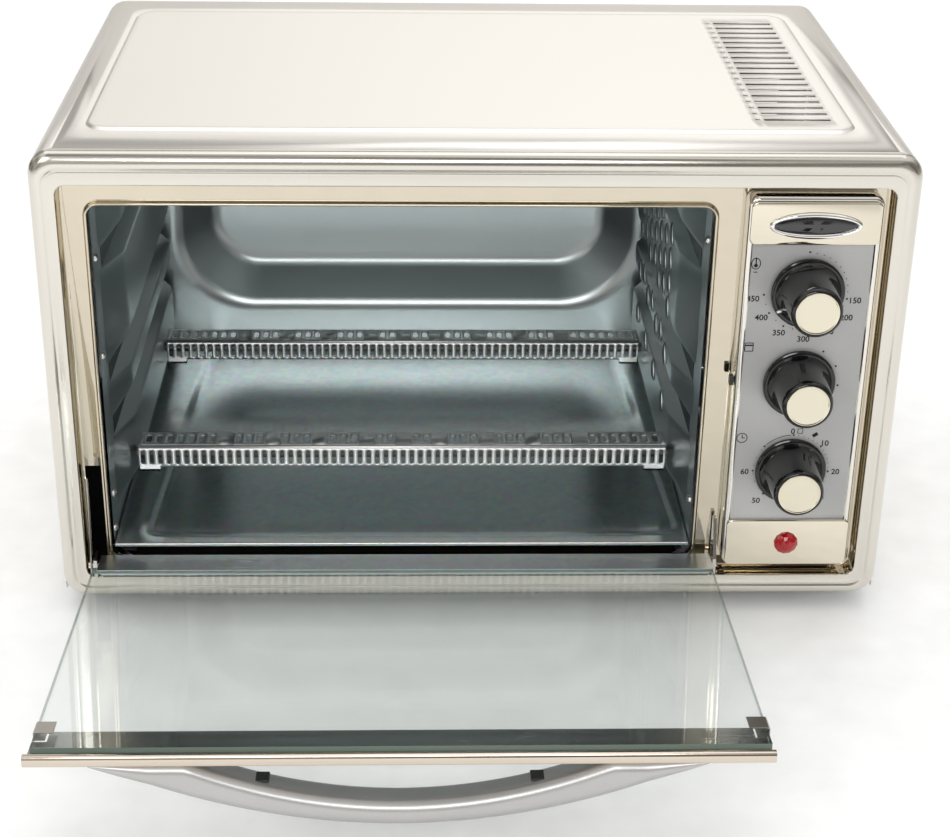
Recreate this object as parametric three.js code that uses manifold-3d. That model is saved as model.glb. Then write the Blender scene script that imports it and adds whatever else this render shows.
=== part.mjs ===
// Countertop convection toaster oven with its door open.
// Millimetres, +Z up, the front faces -Y and +X is to the right of someone who stands before it.
// Everything is laid out from the front face of the bezel (Y = 0), the middle of the cabinet
// (X = 0) and the underside of the bezel (Z = 0). The whole group is moved at the end, so that the
// origin lies in the middle of the footprint, on the surface that the feet stand on.

import * as THREE from "three";
import { mergeVertices } from "three/addons/utils/BufferGeometryUtils.js";
import Module from "manifold-3d";

const wasm = await Module();
wasm.setup();

// ---------------------------------------------------------------- driving dimensions

const WIDTH = 500; // cabinet, left to right
const HEIGHT = 285.3; // cabinet without feet and without the raised field on its top
const DEPTH = 330; // bezel face to the rear edge of the wrap
const SHEET = 1; // steel sheet of the casing
const GAP = 0.4; // between pieces that rest on each other
const CORNER = 14; // outer corners of the cabinet, seen from the front
const SEAM_Y = 8; // where the bezel ends and the wrap begins
const FOOT_H = 12;

// The raised field on the top, and the louvres beside it: one long slot and one dash in each row.
const TOP_FIELD = { x0: -223.5, x1: 219.5, y0: 41.5, y1: 299.5, r: 12, raise: 1.2 };
const LOUVRES = {
  count: 19,
  first: 62.5,
  last: 275,
  width: 2.6,
  slot: [168.4, 207.6],
  dash: [163.4, 166],
};
const REAR_Y = DEPTH - 1.6; // rear face of the rear panel's edge
const GLAND = { x: 200, z: 40, flange: 11, barrel: 7, bore: 4 };

const RECESS = { x0: -235.4, x1: 235.9, z0: 13.7, z1: 265.7, depth: 14, r: 6 };
const MOUTH = { x0: -220.5, x1: 135.7, z0: 21.6, z1: 250.5, r: 7 }; // the oven's opening
const FLOOR_TOP = 31; // top of the crumb tray's edge
const LIP = { width: 2.4, y: 11 }; // raised rim round the mouth

const CAVITY = { x0: -219.5, x1: 134.5, z0: 28, z1: 252.5, front: 15.6, back: 305 };
// Raised fields of the side walls, from bottom to top. The racks slide in the grooves between them.
const FIELD_SPANS = [[44, 91], [103, 127], [139, 201], [213, 246]];
const FIELD = { proud: 8.5, front: 35, ramp: 76, shoulder: 292, back: 300 };
const BULGE = { x0: -206, x1: 128, z0: 66, z1: 246, depth: 24, slope: 30, r: 52 };

const CONTROL_WINDOW = { x0: 160, x1: 222, z0: 32, z1: 232 }; // hole in the bezel behind the panel
const ARM_SLOT = { x0: -233.8, x1: -224, z0: 16.2, z1: 84 }; // hole for the lever on the hinge
const PANEL = { x0: 152.5, x1: 229.5, z0: 21.6, z1: 261.7, back: 13.4, r: 6 };
const PLATE_PROUD = 1.3; // the two polished plates on the control panel
const BADGE_PLATE = { x0: 153.8, x1: 228.2, z0: 233, z1: 258.6 };
const LOWER_PLATE = { x0: 154.4, x1: 229, z0: 23, z1: 54.1 };
const BADGE = { x: 190.8, z: 244.9, halfWidth: 26.5, halfHeight: 7.9 };
const PILOT = { x: 191.4, z: 38.5, radius: 7.3 };

const KNOB_X = 189.9;
const KNOBS = [
  { name: "temperature", z: 203.6 },
  { name: "function", z: 146.1 },
  { name: "timer", z: 88.4 },
];
const KNOB = { skirt: 21.4, grip: 14.8, length: 31, cap: 12.6, bore: 3.4 };
const SHAFT_R = 3;

const HINGE = { y: 4, z: 20.5 }; // the door's axis
const DOOR_TILT = 5.6; // the open door's free edge stands this many degrees above level
const DOOR = { x0: -231.8, x1: 146.6 };
const GLASS = { x0: -229.4, x1: 145.8, bottom: 14, top: 225, inner: 4.9, outer: 0.9 };
const DOOR_EDGE = 234.6; // hinge axis to the top edge of the closed door
const PIN_R = 2;

const GUARD = { z0: 54.5, z1: 69.5, depth: 20, sheet: 0.8 };
const GUARD_FRONTS = { front: 68, rear: 230 };
const ELEMENT_R = 3.3;
const FAN = { y: 185, z: 150, radius: 58 };

// ---------------------------------------------------------------- shapes to solids and back

const rad = THREE.MathUtils.degToRad;

// A closed mesh as a solid that can be joined and cut.
function solid(geometry) {
  const bare = geometry.clone();
  bare.deleteAttribute("normal");
  bare.deleteAttribute("uv");
  const merged = mergeVertices(bare, 1e-4);
  return new wasm.Manifold(
    new wasm.Mesh({
      numProp: 3,
      vertProperties: new Float32Array(merged.attributes.position.array),
      triVerts: new Uint32Array(merged.index.array),
    }),
  );
}

// A solid as a three.js geometry with flat faces.
function geometryOf(body) {
  const mesh = body.getMesh();
  const geometry = new THREE.BufferGeometry();
  geometry.setAttribute("position", new THREE.BufferAttribute(mesh.vertProperties, 3));
  geometry.setIndex(new THREE.BufferAttribute(mesh.triVerts, 1));
  const flat = geometry.toNonIndexed();
  flat.computeVertexNormals();
  return flat;
}

const join = (first, ...rest) => rest.reduce((body, next) => body.add(next), first);
const cut = (first, ...rest) => rest.reduce((body, next) => body.subtract(next), first);

// A block between two corners.
function block(x0, x1, y0, y1, z0, z1) {
  const box = new THREE.BoxGeometry(x1 - x0, y1 - y0, z1 - z0);
  box.translate((x0 + x1) / 2, (y0 + y1) / 2, (z0 + z1) / 2);
  return solid(box);
}

// A cylinder of radius r along an axis, from a to b on it, with its centre line through (p, q):
// the other two coordinates in X, Y, Z order.
function rod(axis, r, a, b, p, q, sides = 24) {
  const cylinder = new THREE.CylinderGeometry(r, r, b - a, sides);
  const middle = (a + b) / 2;
  if (axis === "x") cylinder.rotateZ(Math.PI / 2).translate(middle, p, q);
  if (axis === "y") cylinder.translate(p, middle, q);
  if (axis === "z") cylinder.rotateX(Math.PI / 2).translate(p, q, middle);
  return solid(cylinder);
}

function roundedRect(x0, x1, z0, z1, r) {
  const shape = new THREE.Shape();
  shape.moveTo(x0 + r, z0);
  shape.absarc(x1 - r, z0 + r, r, -Math.PI / 2, 0);
  shape.absarc(x1 - r, z1 - r, r, 0, Math.PI / 2);
  shape.absarc(x0 + r, z1 - r, r, Math.PI / 2, Math.PI);
  shape.absarc(x0 + r, z0 + r, r, Math.PI, 1.5 * Math.PI);
  shape.closePath();
  return shape;
}

function polygon(points) {
  return new THREE.Shape(points.map(([x, y]) => new THREE.Vector2(x, y)));
}

// A shape drawn in X and Z, filled from y0 to y1.
function frontal(shape, y0, y1, curveSegments = 5) {
  const body = new THREE.ExtrudeGeometry(shape, { depth: y1 - y0, bevelEnabled: false, curveSegments });
  return solid(body.rotateX(Math.PI / 2).translate(0, y1, 0));
}

const frontalRect = (b, y0, y1, segments) =>
  frontal(roundedRect(b.x0, b.x1, b.z0, b.z1, b.r), y0, y1, segments);

// A shape drawn in Y and Z, filled from x0 to x1.
const TO_SIDE = new THREE.Matrix4().makeBasis(
  new THREE.Vector3(0, 1, 0),
  new THREE.Vector3(0, 0, 1),
  new THREE.Vector3(1, 0, 0),
);
function sidewaysGeometry(shape, x0, x1) {
  const body = new THREE.ExtrudeGeometry(shape, { depth: x1 - x0, bevelEnabled: false });
  return body.applyMatrix4(TO_SIDE).translate(x0, 0, 0);
}
const sideways = (shape, x0, x1) => solid(sidewaysGeometry(shape, x0, x1));

// A shape drawn in X and Y, filled from z0 to z1.
function upright(shape, z0, z1, curveSegments = 3) {
  const body = new THREE.ExtrudeGeometry(shape, { depth: z1 - z0, bevelEnabled: false, curveSegments });
  return solid(body.translate(0, 0, z0));
}

// A profile of [radius, height] turned about Y; heights grow towards -Y, out of the panel.
function turned(profile, x, y, z, sides = 32) {
  const points = profile.map(([r, h]) => new THREE.Vector2(r, h));
  const body = new THREE.LatheGeometry(points, sides);
  return solid(body.rotateX(Math.PI).translate(x, y, z));
}

// A frustum between two rounded rectangles, one at yNear and one further back at yFar.
function pressedForm(first, second, yNear, yFar, segments = 5) {
  const outline = (b) => roundedRect(b.x0, b.x1, b.z0, b.z1, b.r).getPoints(segments).slice(0, -1);
  const near = outline(first);
  const far = outline(second);
  const n = near.length;
  const positions = [];
  near.forEach((p) => positions.push(p.x, yNear, p.y));
  far.forEach((p) => positions.push(p.x, yFar, p.y));
  const faces = [];
  THREE.ShapeUtils.triangulateShape(near, []).forEach(([a, b, c]) => {
    faces.push(a, b, c, n + a, n + c, n + b);
  });
  for (let i = 0; i < n; i += 1) {
    const j = (i + 1) % n;
    faces.push(i, n + i, n + j, i, n + j, j);
  }
  const geometry = new THREE.BufferGeometry();
  geometry.setAttribute("position", new THREE.Float32BufferAttribute(positions, 3));
  geometry.setIndex(faces);
  return solid(geometry);
}

const inset = (b, d, r = Math.max(b.r - d, 1)) => ({
  x0: b.x0 + d,
  x1: b.x1 - d,
  z0: b.z0 + d,
  z1: b.z1 - d,
  r,
});

// ---------------------------------------------------------------- finishes

const finish = (color, roughness, metalness) => ({ color, roughness, metalness });
const FINISHES = {
  casing: finish(0xcfc8ba, 0.3, 1),
  polished: finish(0xc9bfa8, 0.1, 1),
  chrome: finish(0xe2e0dc, 0.08, 1),
  galvanised: finish(0x9aa3a8, 0.38, 1),
  lining: finish(0xa9b2b6, 0.34, 1),
  panel: finish(0xa9a8a4, 0.45, 0.5),
  handle: finish(0xb9b6b2, 0.35, 0.6),
  black: finish(0x0c0c0e, 0.12, 0),
  phenolic: finish(0x1b1a19, 0.6, 0),
  glass: finish(0xdfe5e1, 0.02, 0),
  red: finish(0xa80d12, 0.15, 0),
  ceramic: finish(0xe6e1d6, 0.7, 0),
  rubber: finish(0x161616, 0.8, 0),
  brass: finish(0xb58d3d, 0.35, 1),
};

const oven = new THREE.Group();
oven.name = "toaster_oven";

function add(name, body, finishName, parent = oven) {
  const mesh = new THREE.Mesh(geometryOf(body), new THREE.MeshStandardMaterial(FINISHES[finishName]));
  mesh.name = name;
  if (finishName === "glass") {
    mesh.material.transparent = true;
    mesh.material.opacity = 0.35;
  }
  parent.add(mesh);
  return mesh;
}

// ---------------------------------------------------------------- casing

const OUTLINE = { x0: -WIDTH / 2, x1: WIDTH / 2, z0: 0, z1: HEIGHT, r: CORNER };

// The bezel is one stamping: a rounded outer face, a recess for the door and the control panel,
// and the oven's mouth with a raised lip.
function makeBezel() {
  const rounding = 5;
  const face = pressedForm(inset(OUTLINE, rounding), OUTLINE, 0, rounding, 4);
  const rim = frontalRect(OUTLINE, rounding, SEAM_Y, 4);
  const flange = frontalRect(inset(OUTLINE, SHEET + GAP), SEAM_Y, RECESS.depth + SHEET, 4);
  const recess = frontalRect(RECESS, -1, RECESS.depth, 4);
  const inner = inset(OUTLINE, 2 * SHEET + GAP);
  const hollow = cut(
    frontalRect(inner, rounding + SHEET, RECESS.depth + 2 * SHEET, 4),
    frontalRect(inset(RECESS, -2 * SHEET, RECESS.r + SHEET), 0, RECESS.depth + SHEET, 4),
  );
  const lipRing = frontalRect(inset(MOUTH, -LIP.width), LIP.y, RECESS.depth + SHEET / 2, 3);
  const mouth = frontalRect(MOUTH, LIP.y - 1, RECESS.depth + 3, 3);
  const holes = [CONTROL_WINDOW, ARM_SLOT].map(({ x0, x1, z0, z1 }) => block(x0, x1, 10, 18, z0, z1));
  const stamping = cut(join(face, rim, flange), recess, hollow);
  return cut(join(stamping, lipRing), mouth, ...holes);
}

// The wrap is one sheet over the top and both sides, with a raised field and a row of louvres.
function makeWrap() {
  const lower = 2;
  const y0 = SEAM_Y + GAP;
  const y1 = DEPTH - SHEET;
  const outer = frontalRect({ ...OUTLINE, z0: -40 }, y0, y1, 5);
  const inner = frontalRect({ ...inset(OUTLINE, SHEET), z0: -50 }, y0 - 1, y1 + 1, 5);
  const below = block(-WIDTH, WIDTH, 0, DEPTH + 9, -60, lower);
  const { x0: left, x1: right, y0: front, y1: back, r, raise } = TOP_FIELD;
  const fieldShape = (d) => roundedRect(left + d, right - d, front + d, back - d, r);
  const top = upright(fieldShape(0), HEIGHT - SHEET / 2, HEIGHT + raise);
  const underside = upright(fieldShape(SHEET), HEIGHT - 2 * SHEET, HEIGHT + raise - SHEET);
  const slots = [];
  const { count, first, last, width } = LOUVRES;
  for (let i = 0; i < count; i += 1) {
    const y = first + (i * (last - first)) / (count - 1);
    for (const [x0, x1] of [LOUVRES.slot, LOUVRES.dash]) {
      slots.push(block(x0, x1, y - width / 2, y + width / 2, HEIGHT - 4, HEIGHT + 4));
    }
  }
  return cut(join(cut(outer, inner, below), top), underside, ...slots);
}

// The base carries the feet; rows of slots let cool air in.
function makeBase() {
  const x = WIDTH / 2 - SHEET - GAP;
  const underside = 2;
  const slots = [];
  for (let i = 0; i < 5; i += 1) {
    for (const y of [110, 230]) {
      slots.push(block(160 + 14 * i, 166 + 14 * i, y - 30, y + 30, 0, 6));
    }
  }
  const [front, back] = [RECESS.depth + SHEET + GAP, DEPTH - 2 * SHEET - GAP];
  return cut(block(-x, x, front, back, underside, underside + SHEET), ...slots);
}

// The rear panel bows out behind the cavity and has vent slots behind the controls.
function makeRear() {
  const x = WIDTH / 2 - SHEET - GAP;
  const y = REAR_Y;
  const edge = { x0: -x, x1: x, z0: 3.6, z1: HEIGHT - SHEET - GAP, r: CORNER - SHEET };
  const sheet = frontalRect(edge, y - SHEET, y, 4);
  const near = { x0: BULGE.x0 - 4, x1: BULGE.x1 + 4, z0: 46, z1: 256, r: 40 };
  const far = inset(near, 22, 30);
  const out = DEPTH + 20;
  const wall = 1.4;
  const dome = pressedForm(near, far, y - SHEET / 2, out);
  const hollow = pressedForm(inset(near, wall, 39), inset(far, wall, 29), y - 2 * SHEET, out - SHEET);
  const vents = { x0: 158, x1: 228, z: 150, pitch: 9, width: 3.4 };
  const slots = [];
  for (let i = 0; i < 10; i += 1) {
    const z = vents.z + vents.pitch * i;
    slots.push(block(vents.x0, vents.x1, y - 5, y + 5, z, z + vents.width));
  }
  const glandHole = rod("y", GLAND.barrel + GAP, y - 6, y + 6, GLAND.x, GLAND.z);
  return cut(join(sheet, dome), hollow, glandHole, ...slots);
}

// The gland that the mains lead would pass through: a flanged bush, open down its middle.
function makeGland() {
  const { x, z } = GLAND;
  const flange = rod("y", GLAND.flange, REAR_Y + GAP, REAR_Y + 5, x, z, 20);
  const barrel = rod("y", GLAND.barrel, REAR_Y - 8, REAR_Y + 2 * GAP, x, z, 20);
  return cut(join(flange, barrel), rod("y", GLAND.bore, REAR_Y - 10, REAR_Y + 8, x, z, 16));
}

// A foot: a rubber cylinder with a chamfered foot, let in a little way past the bezel's underside.
function makeFoot(x, y) {
  const top = FOOT_H + 1.6;
  const profile = [[0, 0], [9.5, 0], [12, 3], [12, top], [0, top]];
  const body = new THREE.LatheGeometry(profile.map(([r, h]) => new THREE.Vector2(r, h)), 20);
  return solid(body.rotateX(Math.PI / 2).translate(x, y, -FOOT_H));
}

add("front_bezel", makeBezel(), "polished");
add("wrap_casing", makeWrap(), "casing");
add("base_pan", makeBase(), "galvanised");
add("rear_panel", makeRear(), "galvanised");
add("cord_gland", makeGland(), "phenolic");
for (const [side, x] of [["left", -205], ["right", 205]]) {
  add(`foot_front_${side}`, makeFoot(x, 62), "rubber");
  add(`foot_rear_${side}`, makeFoot(x, 288), "rubber");
}

// ---------------------------------------------------------------- oven cavity

const ELEMENTS = [
  { name: "lower_front", y: GUARD_FRONTS.front + 10, z: 60 },
  { name: "lower_rear", y: GUARD_FRONTS.rear + 10, z: 60 },
  { name: "upper_front", y: 95, z: 237 },
  { name: "upper_rear", y: 215, z: 237 },
];
const elementHoles = (x0, x1) => ELEMENTS.map((e) => rod("x", 5.2, x0, x1, e.y, e.z, 12));

// A side wall: a flat sheet with raised fields and holes for the heating elements. A field rises
// along a ramp at its front. side is -1 on the left and 1 on the right.
function makeSideWall(side) {
  const x = side < 0 ? CAVITY.x0 : CAVITY.x1;
  const inward = -side;
  const [outside, behindSheet] = [x - inward * SHEET, x - 2 * inward * SHEET];
  const sheet = block(
    Math.min(x, outside),
    Math.max(x, outside),
    CAVITY.front,
    CAVITY.back - SHEET,
    CAVITY.z0 + 1.5,
    CAVITY.z1 - 1,
  );
  const crown = x + inward * FIELD.proud;
  const root = x - (inward * SHEET) / 2;
  const form = polygon([
    [root, FIELD.front], [crown, FIELD.ramp], [crown, FIELD.shoulder], [root, FIELD.back],
  ]);
  const crownInside = crown - inward * SHEET;
  const formInside = polygon([
    [behindSheet, FIELD.front], [crownInside, FIELD.ramp + 2 * SHEET],
    [crownInside, FIELD.shoulder - 1.5 * SHEET], [behindSheet, FIELD.back - SHEET],
  ]);
  const fields = FIELD_SPANS.map(([low, high]) => upright(form, low, high));
  const hollows = FIELD_SPANS.map(([low, high]) => upright(formInside, low + SHEET, high - SHEET));
  const reach = FIELD.proud + 4;
  return cut(join(sheet, ...fields), ...hollows, ...elementHoles(x - reach, x + reach));
}

// Twelve slits in a ring let the fan's air through the right wall.
const SLITS = { count: 12, width: 5, length: 26, radius: 30 };
function makeRightWall() {
  const through = 5 * FIELD.proud;
  const slits = [];
  for (let i = 0; i < SLITS.count; i += 1) {
    const slit = new THREE.BoxGeometry(through, SLITS.width, SLITS.length);
    slit.translate(0, 0, SLITS.radius);
    slit.rotateX(rad((360 / SLITS.count) * (i + 0.5)));
    slit.translate(CAVITY.x1, FAN.y, FAN.z);
    slits.push(solid(slit));
  }
  return cut(makeSideWall(1), ...slits);
}

// The back wall is pressed out in two steps, so that a round dish has room.
function makeCavityBack() {
  const [left, right] = [CAVITY.x0 - SHEET, CAVITY.x1 + SHEET];
  const sheet = block(left, right, CAVITY.back, CAVITY.back + SHEET, CAVITY.z0, CAVITY.z1);
  const floor = inset(BULGE, BULGE.slope, 30);
  const wall = 1.2;
  const out = CAVITY.back + BULGE.depth;
  const dome = pressedForm(
    inset(BULGE, -wall), inset(floor, -wall), CAVITY.back + SHEET / 2, out + SHEET, 6,
  );
  const hollow = pressedForm(BULGE, floor, CAVITY.back - SHEET, out, 6);
  return cut(join(sheet, dome), hollow);
}

// The loose crumb tray is the floor that shows: a raised border round a lower field, a rolled
// front edge and an apron that hangs into the recess of the bezel.
function makeCrumbTray() {
  const sheet = 1.6;
  const [left, right] = [CAVITY.x0 + 1, CAVITY.x1 - 1];
  const front = LIP.y;
  const plate = block(left, right, front, CAVITY.back - 3, FLOOR_TOP - sheet, FLOOR_TOP);
  const border = polygon([[-198, 24], [134 - 8, 24], [114, 292], [-184, 292]]);
  const well = new THREE.ExtrudeGeometry(border, { depth: 3, bevelEnabled: false });
  const [low, chamfer, apronFoot] = [27, 8, 22.4];
  const outline = [
    [left + 4, FLOOR_TOP - 0.5], [left + 4, low], [left + 4 + chamfer, apronFoot],
    [right - 4 - chamfer, apronFoot], [right - 4, low], [right - 4, FLOOR_TOP - 0.5],
  ];
  const apron = frontal(polygon(outline), front, front + SHEET);
  return join(cut(plate, solid(well.translate(0, 0, FLOOR_TOP - 0.8))), apron);
}

// A flat sheet over the whole cavity, its middle near z.
function makeCavitySheet(z) {
  const [left, right] = [CAVITY.x0 - SHEET, CAVITY.x1 + SHEET];
  return block(left, right, CAVITY.front, CAVITY.back - GAP, z - 0.4, z - 0.4 + SHEET);
}

add("cavity_left_wall", makeSideWall(-1), "lining");
add("cavity_right_wall", makeRightWall(), "lining");
add("cavity_back", makeCavityBack(), "lining");
add("cavity_top", makeCavitySheet(CAVITY.z1), "lining");
add("cavity_floor", makeCavitySheet(CAVITY.z0), "lining");
add("crumb_tray", makeCrumbTray(), "lining");

// A guard is an angled strip over a lower element: slots in front, pairs of holes on top.
function makeGuard(y) {
  const x0 = CAVITY.x0 + FIELD.proud + 1;
  const x1 = CAVITY.x1 - FIELD.proud - 1;
  const t = GUARD.sheet;
  const { z0, z1 } = GUARD;
  const top = block(x0, x1, y, y + GUARD.depth, z1 - t, z1);
  const face = block(x0, x1, y, y + t, z0, z1);
  const feet = [x0, x1 - 12].map((x) => block(x, x + 12, y, y + 8, z0 - 3, z0 + t));
  const slots = [];
  const count = 24;
  const pitch = (x1 - x0) / count;
  for (let i = 0; i < count; i += 1) {
    const x = x0 + (i + 0.5) * pitch;
    slots.push(block(x - 2.6, x + 2.6, y - 2, y + 2, z0 + 3, z1 - 3));
  }
  return cut(join(top, face, ...feet), ...slots);
}

for (const [name, y] of Object.entries(GUARD_FRONTS)) {
  add(`element_guard_${name}`, makeGuard(y), "galvanised");
}

// A heating element is a sealed metal rod with a ceramic end and a terminal at each side.
for (const element of ELEMENTS) {
  const a = CAVITY.x0 - 10;
  const b = CAVITY.x1 + 10;
  const stem = rod("x", ELEMENT_R, a + 4, b - 4, element.y, element.z, 12);
  const ends = [a, b - 13].map((x) => rod("x", 4.6, x, x + 13, element.y, element.z, 12));
  add(`${element.name}_element`, join(stem, ...ends), "galvanised");
}

// ---------------------------------------------------------------- convection fan

// The housing is a shallow cup on the outside of the right wall; its flange rests on the wall.
const FAN_HOUSING = { back: CAVITY.x1 + SHEET + GAP, depth: 24 };
function makeFanHousing() {
  const { back, depth } = FAN_HOUSING;
  const disc = (r, a, b, sides = 36) => rod("x", r, back + a, back + b, FAN.y, FAN.z, sides);
  const cup = cut(disc(72, 0, depth), disc(70.6, -1, depth - 1.4));
  const flange = cut(disc(78, 0, SHEET), disc(71, -1, 2));
  return cut(join(cup, flange), disc(5, depth - 4, depth + 2, 16));
}

function makeFanBlade() {
  const x = CAVITY.x1 + 12;
  const hub = rod("x", 9, x - 4, x + 5, FAN.y, FAN.z, 16);
  const shaft = rod("x", 2.5, x + 4, x + 20, FAN.y, FAN.z, 12);
  const blades = [];
  for (let i = 0; i < 6; i += 1) {
    const blade = new THREE.BoxGeometry(1.2, 26, FAN.radius - 6);
    blade.rotateZ(rad(28)).translate(0, 0, 6 + (FAN.radius - 6) / 2);
    blade.rotateX(rad(60 * i)).translate(x, FAN.y, FAN.z);
    blades.push(solid(blade));
  }
  return join(hub, shaft, ...blades);
}

function makeFanMotor() {
  const x = FAN_HOUSING.back + FAN_HOUSING.depth + GAP;
  const body = rod("x", 27, x, x + 30, FAN.y, FAN.z, 24);
  const core = block(x + 6, x + 24, FAN.y - 34, FAN.y + 34, FAN.z - 20, FAN.z + 20);
  return cut(join(body, core), rod("x", 3.6, x - 1, x + 12, FAN.y, FAN.z, 12));
}

add("fan_housing", makeFanHousing(), "galvanised");
add("fan_blade", makeFanBlade(), "galvanised");
add("fan_motor", makeFanMotor(), "phenolic");

// ---------------------------------------------------------------- control panel

function makePanel() {
  const skin = 1.6;
  const shell = cut(frontalRect(PANEL, 0, PANEL.back), frontalRect(inset(PANEL, 2), skin, PANEL.back + 1));
  const shafts = KNOBS.map((k) => rod("y", SHAFT_R + 1, -1, 4, KNOB_X, k.z, 16));
  return cut(shell, ...shafts, rod("y", 6, -1, 4, PILOT.x, PILOT.z, 20));
}

function makePlate(b, hole) {
  const plate = frontalRect({ ...b, r: 4 }, -0.3 - PLATE_PROUD, -0.3, 3);
  return hole ? cut(plate, rod("y", 6, -4, 2, PILOT.x, PILOT.z, 20)) : plate;
}

function oval(halfWidth, halfHeight, y0, y1) {
  const shape = new THREE.Shape();
  shape.absellipse(BADGE.x, BADGE.z, halfWidth, halfHeight, 0, 2 * Math.PI);
  return frontal(shape, y0, y1, 14);
}

add("control_panel", makePanel(), "panel");
add("badge_plate", makePlate(BADGE_PLATE, false), "polished");
add("lower_plate", makePlate(LOWER_PLATE, true), "polished");
const badgeBack = -0.3 - PLATE_PROUD - 0.3;
const rimWidth = 3;
const { halfWidth, halfHeight } = BADGE;
add(
  "badge_rim",
  cut(
    oval(halfWidth, halfHeight, badgeBack - 2, badgeBack),
    oval(halfWidth - rimWidth, halfHeight - rimWidth + 0.4, badgeBack - 3, badgeBack + 1),
  ),
  "chrome",
);
add(
  "badge_insert",
  oval(halfWidth - rimWidth - 0.3, halfHeight - rimWidth + 0.1, badgeBack - 1.2, badgeBack),
  "black",
);

const lens = [
  [0, -5.6], [5.4, -5.6], [5.4, 0], [PILOT.radius, 0], [PILOT.radius, 1.6], [5.4, 3.9], [2.6, 4.9], [0, 5.2],
];
add("pilot_lens", turned(lens, PILOT.x, badgeBack, PILOT.z, 20), "red");
add("pilot_lamp", rod("y", 4.2, 4.4, 24, PILOT.x, PILOT.z, 16), "ceramic");
add("panel_side_catch", block(149.6, 152.1, 3, 7, 143.2, 148.6), "black");

// A knob: a flared skirt that sweeps up into a round grip, bored for its shaft.
function makeKnob(z) {
  const { skirt, grip, length, bore } = KNOB;
  const profile = [
    [0, 0], [skirt, 0], [skirt, 1.6], [skirt - 0.9, 2.6], [grip + 3.4, 6.2],
    [grip + 1.2, 9.4], [grip + 0.4, 13], [grip, length - 1], [grip - 0.8, length], [0, length],
  ];
  const body = turned(profile, KNOB_X, -1, z, 32);
  const shaftBore = rod("y", bore, -20, 1, KNOB_X, z, 12);
  const capSeat = rod("y", KNOB.cap + 0.3, -1 - length - 1, -length + 0.4, KNOB_X, z, 32);
  return cut(body, shaftBore, capSeat);
}

const capFront = -1.4 - KNOB.length;
for (const { name, z } of KNOBS) {
  add(`${name}_knob`, makeKnob(z), "black");
  add(`${name}_knob_cap`, rod("y", KNOB.cap, capFront, capFront + 1.5, KNOB_X, z, 32), "polished");
  add(`${name}_shaft`, rod("y", SHAFT_R, -18, 15.6, KNOB_X, z, 16), "brass");
}

// The switchgear sits behind the bezel, on the ends of the three shafts.
const behind = 16.1;
function housing(half, depth, z) {
  return block(KNOB_X - half, KNOB_X + half, behind, behind + depth, z - half, z + half);
}
add("thermostat", housing(17, 26, KNOBS[0].z), "ceramic");
add("function_switch", housing(18, 30, KNOBS[1].z), "phenolic");
add("timer", rod("y", 24, behind, behind + 36, KNOB_X, KNOBS[2].z, 24), "phenolic");

// ---------------------------------------------------------------- door

// The door is drawn closed, about its hinge axis: x as everywhere, z up the door from the axis and
// y from the outside to the inside. Its group then lays it open.
const door = new THREE.Group();
door.position.set(0, HINGE.y, HINGE.z);
door.rotation.x = rad(90 - DOOR_TILT);
oven.add(door);

const DOOR_INNER = 6.4;
const DOOR_OUTER = -4.4;
const BOTTOM_RAIL = { x0: -226.4, x1: 146, tab: 20, foot: -3.8, notch: -1, top: 21 };

// The bottom rail grips the glass in a groove, and the hinge pins enter its two ends.
function makeBottomRail() {
  const { x0, x1, tab, foot, notch, top } = BOTTOM_RAIL;
  const bar = block(x0, x1, DOOR_OUTER, DOOR_INNER, foot, top);
  const notchCut = block(x0 + tab, x1 - tab, DOOR_OUTER - 1, DOOR_INNER + 1, foot - 1, notch);
  const heelCut = block(x0 - 1, x1 + 1, DOOR_INNER - 1.2, DOOR_INNER + 1, foot - 1, notch);
  const lowerCut = block(x0 - 1, x1 + 1, DOOR_OUTER - 1, GLASS.outer - 1.6, 6, top + 1);
  const groove = block(x0 - 1, x1 + 1, GLASS.outer - GAP, GLASS.inner + GAP, GLASS.bottom - GAP, top + 1);
  const pinHoles = [[x0 - 1, x0 + 12], [x1 - 12, x1 + 1]].map(([a, b]) =>
    rod("x", PIN_R + 0.3, a, b, 0, 0, 16),
  );
  return cut(bar, notchCut, heelCut, lowerCut, groove, ...pinHoles);
}

// The top rail: a flange behind the glass, a slope and a rolled outer edge.
function makeTopRail() {
  const flange = 211;
  const under = GLASS.outer - GAP;
  const end = GLASS.top + GAP;
  const edge = DOOR_EDGE;
  const profile = polygon([
    [-1.2, flange], [-1.2, edge - 1.3], [-0.2, edge], [4.2, edge],
    [5.2, edge - 1.2], [5.2, edge - 3], [under, end], [under, flange],
  ]);
  return sideways(profile, DOOR.x0, DOOR.x1);
}

// The handle is a bow: its outer and inner outlines are shallow parabolas, deepest in the middle.
const HANDLE = { x: -43.4, z0: 212, z1: 232, outer: 39, inner: 24.5, outerHalf: 158, innerHalf: 108 };
function makeHandle() {
  const { x, z0, z1, outer, inner, outerHalf, innerHalf } = HANDLE;
  const seat = -1.7;
  const points = [];
  const steps = 16;
  const along = (half, depth, u) => [x + half * u, seat - (depth + seat) * (1 - u * u)];
  for (let i = 0; i <= steps; i += 1) points.push(along(outerHalf, outer, (2 * i) / steps - 1));
  for (let i = 0; i <= steps; i += 1) points.push(along(innerHalf, inner, 1 - (2 * i) / steps));
  const round = 3.5;
  const body = new THREE.ExtrudeGeometry(polygon(points), {
    depth: z1 - z0 - 2 * round,
    bevelThickness: round,
    bevelSize: round,
    bevelOffset: -round,
    bevelSegments: 2,
  });
  return solid(body.translate(0, 0, z0 + round));
}

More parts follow.
